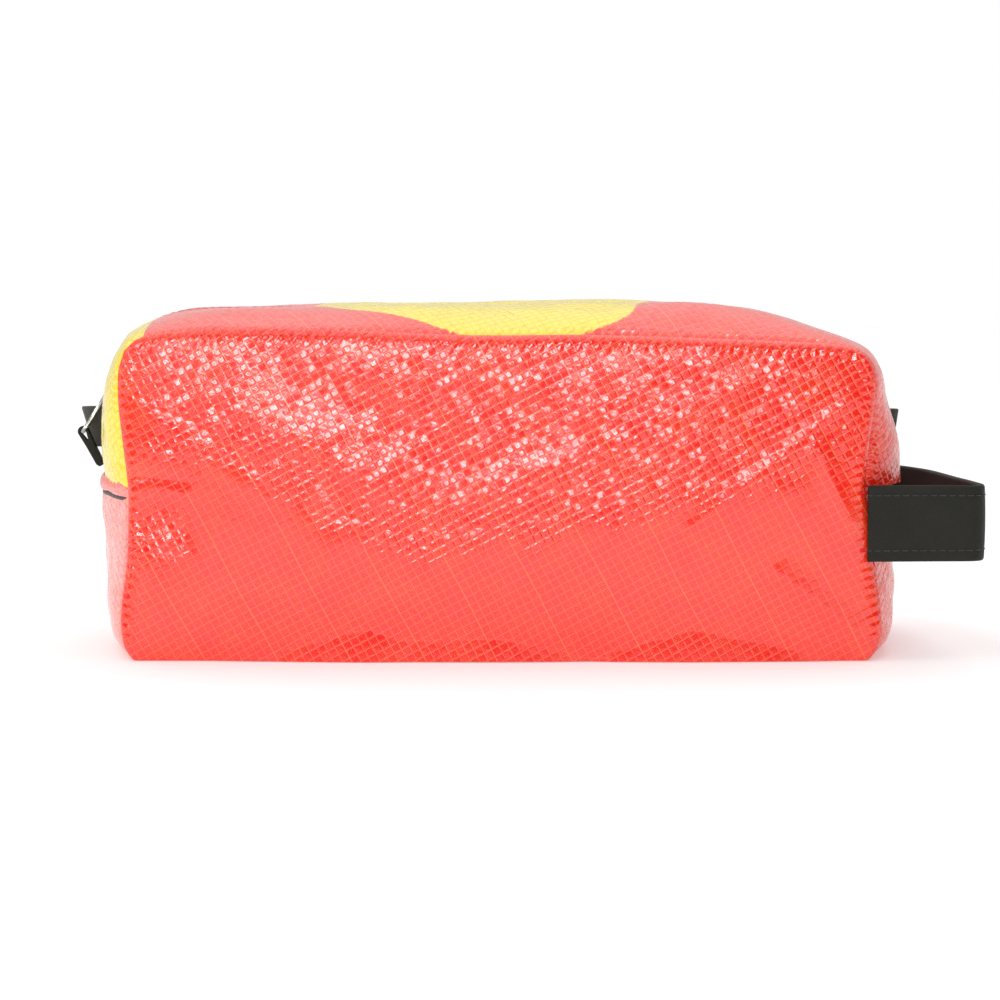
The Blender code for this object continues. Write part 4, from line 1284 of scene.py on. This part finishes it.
class WASHBAG_OT_panels(bpy.types.Operator):
    """Front and back panels and the base"""
    bl_idname = "washbag.panels"
    bl_label = "Panels"

    def execute(self, context):
        film = context.scene.washbag_film
        shape = (FRONT_FOLDS, FRONT_RIDGE, FRONT_PATCHES)
        front = long_panel("film_front_panel", -1, film.grid, 3, shape, film.relief, look("film"))
        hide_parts("front_panel")
        folds = tuple(((-a[0], a[1]), (-b[0], b[1]), high, width)
                      for a, b, high, width in FRONT_FOLDS[1:])
        ridge = tuple((-x, z) for x, z in reversed(FRONT_RIDGE))
        patches = tuple((-x, z, *sizes, -turn, lean) for x, z, *sizes, turn, lean in FRONT_PATCHES)
        shape = (folds, ridge, patches)
        back = long_panel("film_back_panel", 1, film.grid * 1.3, 23, shape, film.relief, look("film"))
        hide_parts("back_panel")
        base = base_film("film_base", 31, film.relief, look("film"))
        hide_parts("base_panel")
        for piece in (front, back, base):
            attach(piece, "case")
        return {"FINISHED"}


class WASHBAG_OT_gusset(bpy.types.Operator):
    """Both halves of the gusset"""
    bl_idname = "washbag.gusset"
    bl_label = "Gusset"

    def execute(self, context):
        film = context.scene.washbag_film
        for side, half, seed in ((-1, "front", 5), (1, "back", 25)):
            piece = gusset(f"film_gusset_{half}", side, film.grid * 1.15, seed, film.relief,
                           look("film_gusset"))
            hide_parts(f"top_gusset_{half}", f"left_end_gusset_{half}", f"right_end_gusset_{half}")
            bend(piece)
        return {"FINISHED"}


def bend(piece):
    """Bakes the piece's placement into its mesh; the piece is not bent."""
    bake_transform(piece)


class WASHBAG_OT_ends(bpy.types.Operator):
    """The film and rolled seams of the two ends, below the zip"""
    bl_idname = "washbag.ends"
    bl_label = "Ends"

    def execute(self, context):
        film = context.scene.washbag_film
        for side, end, seed in ((-1, "left_end", 7), (1, "right_end", 9)):
            # Painted glare: the left end's film uses the film mixed with pale pink, which stands in for
            # reflected light; the right end stays red.
            skin = look("film_painted_glare" if side < 0 else "film")
            lower = lower_end(f"film_{end}_lower", side, film.grid * 1.2, seed, film.relief, skin)
            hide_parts(f"{end}_lower_panel")
            # Both rolls get the painted glare: pale pink in place of reflected light on red film.
            rolled = cross_roll(f"film_{end}_roll", side, look("film_painted_glare"),
                                54.8 * MM, 60.2 * MM, 2.0 * MM, seed + 2)
            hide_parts(f"{end}_cross_seam_binding")
            # A dark woven strip under the roll, named a seam cord: partly the black binding there, partly a
            # painted shadow that stands in for the dark gap under the roll.
            shadow = cross_roll(f"{end}_seam_cord", side, look("binding"),
                                53.4 * MM, 54.9 * MM, 1.1 * MM, seed + 2, 0.4)
            for piece in (lower, rolled, shadow):
                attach(piece, "case")
        return {"FINISHED"}


class WASHBAG_OT_bindings(bpy.types.Operator):
    """Bindings of the two long seams, inside the bag"""
    bl_idname = "washbag.bindings"
    bl_label = "Seam Bindings"

    def execute(self, context):
        for side, half in ((-1, "front"), (1, "back")):
            cord = seam_cord(f"{half}_seam_cord", side, look("binding"))
            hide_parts(f"{half}_seam_binding")
            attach(cord, "case")
        return {"FINISHED"}


class WASHBAG_OT_zip(bpy.types.Operator):
    """Tapes, coils, topstitching, stops, slider and puller"""
    bl_idname = "washbag.zip"
    bl_label = "Zip"

    def execute(self, context):
        settings = context.scene.washbag_zip
        for side, half in ((-1, "front"), (1, "back")):
            tape = zip_tape(f"tape_{half}", side, look("tape"))
            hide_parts(f"zip_tape_{half}", f"left_end_zip_tape_{half}", f"right_end_zip_tape_{half}")
            coil = zip_coil(f"coil_{half}", side, settings.coil_pitch, look("coil"))
            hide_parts(f"zip_coil_{half}", f"left_end_zip_coil_{half}", f"right_end_zip_coil_{half}")
            seam = topstitching(f"topstitch_{half}", side, settings.stitch_pitch, look("red_thread"))
            for piece in (tape, coil, seam):
                bend(piece)
        for node, body in (("zip_slider", "slider"), ("zip_puller", "puller"),
                           ("left_end_zip_stop", "case"), ("right_end_zip_stop", "case")):
            piece = cad_copy(f"metal_{node}", node, 0.22 * MM, look("nickel"))
            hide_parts(node)
            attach(piece, body)
        pull = cad_copy("leather_pull", "pull_tab", 0.2 * MM, look("leather"))
        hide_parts("pull_tab")
        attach(pull, "pull")
        return {"FINISHED"}


class WASHBAG_OT_tabs(bpy.types.Operator):
    """Webbing loops beside the zip's two ends"""
    bl_idname = "washbag.tabs"
    bl_label = "Loop Tabs"

    def execute(self, context):
        left = tab_loop("webbing_left_tab", -1, *LEFT_TAB, look("webbing"))
        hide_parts("left_end_loop_tab")
        right = tab_loop("webbing_right_tab", 1, *RIGHT_TAB, look("webbing"))
        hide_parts("right_end_loop_tab")
        for piece in (left, right):
            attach(piece, "case")
        return {"FINISHED"}


class WASHBAG_OT_strap(bpy.types.Operator):
    """Two-ply carrying strap with its rows of stitches"""
    bl_idname = "washbag.strap"
    bl_label = "Strap"

    def execute(self, context):
        outer = strap_ply("leather_outer_ply", STRAP_LAYER, look("leather"))
        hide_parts("handle_outer_ply")
        inner = strap_ply("leather_inner_ply", -STRAP_LAYER, look("leather"))
        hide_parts("handle_inner_ply")
        rows = [strap_stitches("strap_stitches_upper", UPPER_ROW, 1, look("black_thread")),
                strap_stitches("strap_stitches_lower", LOWER_ROW, -1, look("black_thread"))]
        for piece in (outer, inner, *rows):
            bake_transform(piece)
        return {"FINISHED"}


def soft_light(name, place, target, width, height, power):
    """One white area light aimed at a target."""
    light = bpy.data.lights.new(name, "AREA")
    light.shape = "RECTANGLE"
    light.size = width
    light.size_y = height
    light.energy = power
    lamp = bpy.data.objects.new(name, light)
    lamp.location = place
    lamp.rotation_mode = "QUATERNION"
    lamp.rotation_quaternion = (Vector(target) - Vector(place)).to_track_quat("-Z", "Y")
    bpy.context.scene.collection.objects.link(lamp)
    return lamp


def graded(tree, source, start, end, low, high):
    """A value that goes from low to high while its source goes from start to end."""
    inputs = {"Value": source, "From Min": start, "From Max": end, "To Min": low, "To Max": high}
    return add_node(tree, "ShaderNodeMapRange", None, inputs).outputs[0]


def studio_world():
    """White to the camera; to everything else a room that is brighter behind and above."""
    world = bpy.data.worlds.new("studio_world")
    world.use_nodes = True
    tree = world.node_tree
    tree.nodes.clear()
    direction = add_node(tree, "ShaderNodeTexCoord").outputs["Generated"]
    split = add_node(tree, "ShaderNodeSeparateXYZ", None, {"Vector": direction})
    behind = graded(tree, split.outputs["Y"], -0.4, 0.9, 0.06, 0.95)
    above = graded(tree, split.outputs["Z"], 0.35, 0.8, 0.0, 1.12)
    glow = add_node(tree, "ShaderNodeMath", {"operation": "ADD"}, {"Value": behind, "Value_001": above})
    unseen = add_node(tree, "ShaderNodeBackground", None, {"Strength": glow.outputs[0]})
    seen = add_node(tree, "ShaderNodeBackground", None, {"Color": (1, 1, 1, 1), "Strength": 1.0})
    ray = add_node(tree, "ShaderNodeLightPath")
    mixed = add_node(tree, "ShaderNodeMixShader", None,
                     {"Fac": ray.outputs["Is Camera Ray"], "Shader": unseen.outputs[0],
                      "Shader_001": seen.outputs[0]})
    add_node(tree, "ShaderNodeOutputWorld", None, {"Surface": mixed.outputs[0]})
    return world


FLOOR_HALF = 5.0        # metres
FLOOR_FRONT = -1.0


class WASHBAG_OT_stage(bpy.types.Operator):
    """Pale floor, soft lights and the camera"""
    bl_idname = "washbag.stage"
    bl_label = "Stage"

    def execute(self, context):
        settings = context.scene.washbag_stage
        mesh = bpy.data.meshes.new("studio_floor")
        corners = [(-FLOOR_HALF, FLOOR_FRONT, 0), (FLOOR_HALF, FLOOR_FRONT, 0),
                   (FLOOR_HALF, FLOOR_HALF, 0), (-FLOOR_HALF, FLOOR_HALF, 0)]
        mesh.from_pydata(corners, [], [(0, 1, 2, 3)])
        floor = mesh_object("studio_floor", mesh, floor_material())
        lamps = [
            soft_light("top_light", (0.0, 0.1, 1.5), (0, 0.05, 0), 1.8, 1.4, settings.top_power),
            soft_light("front_light", (-0.2, -1.5, 0.38), (0, 0, 0.06), 1.0, 0.15, settings.key_power),
            soft_light("left_light", (-1.3, -0.5, 0.5), (0, 0, 0.06), 0.7, 0.7, settings.side_power),
        ]
        context.scene.world = studio_world()
        context.scene.view_settings.view_transform = "Standard"
        camera = bpy.data.cameras.new("camera")
        camera.lens = settings.lens
        camera.sensor_width = 36
        holder = bpy.data.objects.new("camera", camera)
        holder.location = settings.camera_place
        holder.rotation_euler = (math.pi / 2 - settings.camera_tilt, 0, 0)
        context.scene.collection.objects.link(holder)
        context.scene.camera = holder
        return {"FINISHED"}


class WASHBAG_PT_sidebar(bpy.types.Panel):
    """Controls of the wash bag"""
    bl_label = "Wash Bag"
    bl_idname = "WASHBAG_PT_sidebar"
    bl_space_type = "VIEW_3D"
    bl_region_type = "UI"
    bl_category = "Wash Bag"

    def draw(self, context):
        scene = context.scene
        for title, settings, names in (("Film", scene.washbag_film, ("grid", "relief")),
                                       ("Zip", scene.washbag_zip, ("coil_pitch", "stitch_pitch")),
                                       ("Stage", scene.washbag_stage,
                                        ("camera_place", "camera_tilt", "lens",
                                         "key_power", "side_power", "top_power"))):
            box = self.layout.box()
            box.label(text=title)
            for name in names:
                box.prop(settings, name)
        for operator in OPERATORS:
            self.layout.operator(operator.bl_idname)


SETTINGS = {"washbag_film": FilmSettings, "washbag_zip": ZipSettings, "washbag_stage": StageSettings}
OPERATORS = (WASHBAG_OT_panels, WASHBAG_OT_gusset, WASHBAG_OT_ends, WASHBAG_OT_bindings, WASHBAG_OT_zip,
             WASHBAG_OT_tabs, WASHBAG_OT_strap, WASHBAG_OT_stage)


def register():
    for item in (*SETTINGS.values(), *OPERATORS, WASHBAG_PT_sidebar):
        bpy.utils.register_class(item)
    for name, item in SETTINGS.items():
        setattr(bpy.types.Scene, name, PointerProperty(type=item))


def unregister():
    for name in SETTINGS:
        delattr(bpy.types.Scene, name)
    for item in reversed((*SETTINGS.values(), *OPERATORS, WASHBAG_PT_sidebar)):
        bpy.utils.unregister_class(item)


def main():
    register()
    bpy.ops.washbag.panels()
    bpy.ops.washbag.gusset()
    bpy.ops.washbag.ends()
    bpy.ops.washbag.bindings()
    bpy.ops.washbag.zip()
    bpy.ops.washbag.tabs()
    bpy.ops.washbag.strap()
    bpy.ops.washbag.stage()


if __name__ == "__main__":
    main()
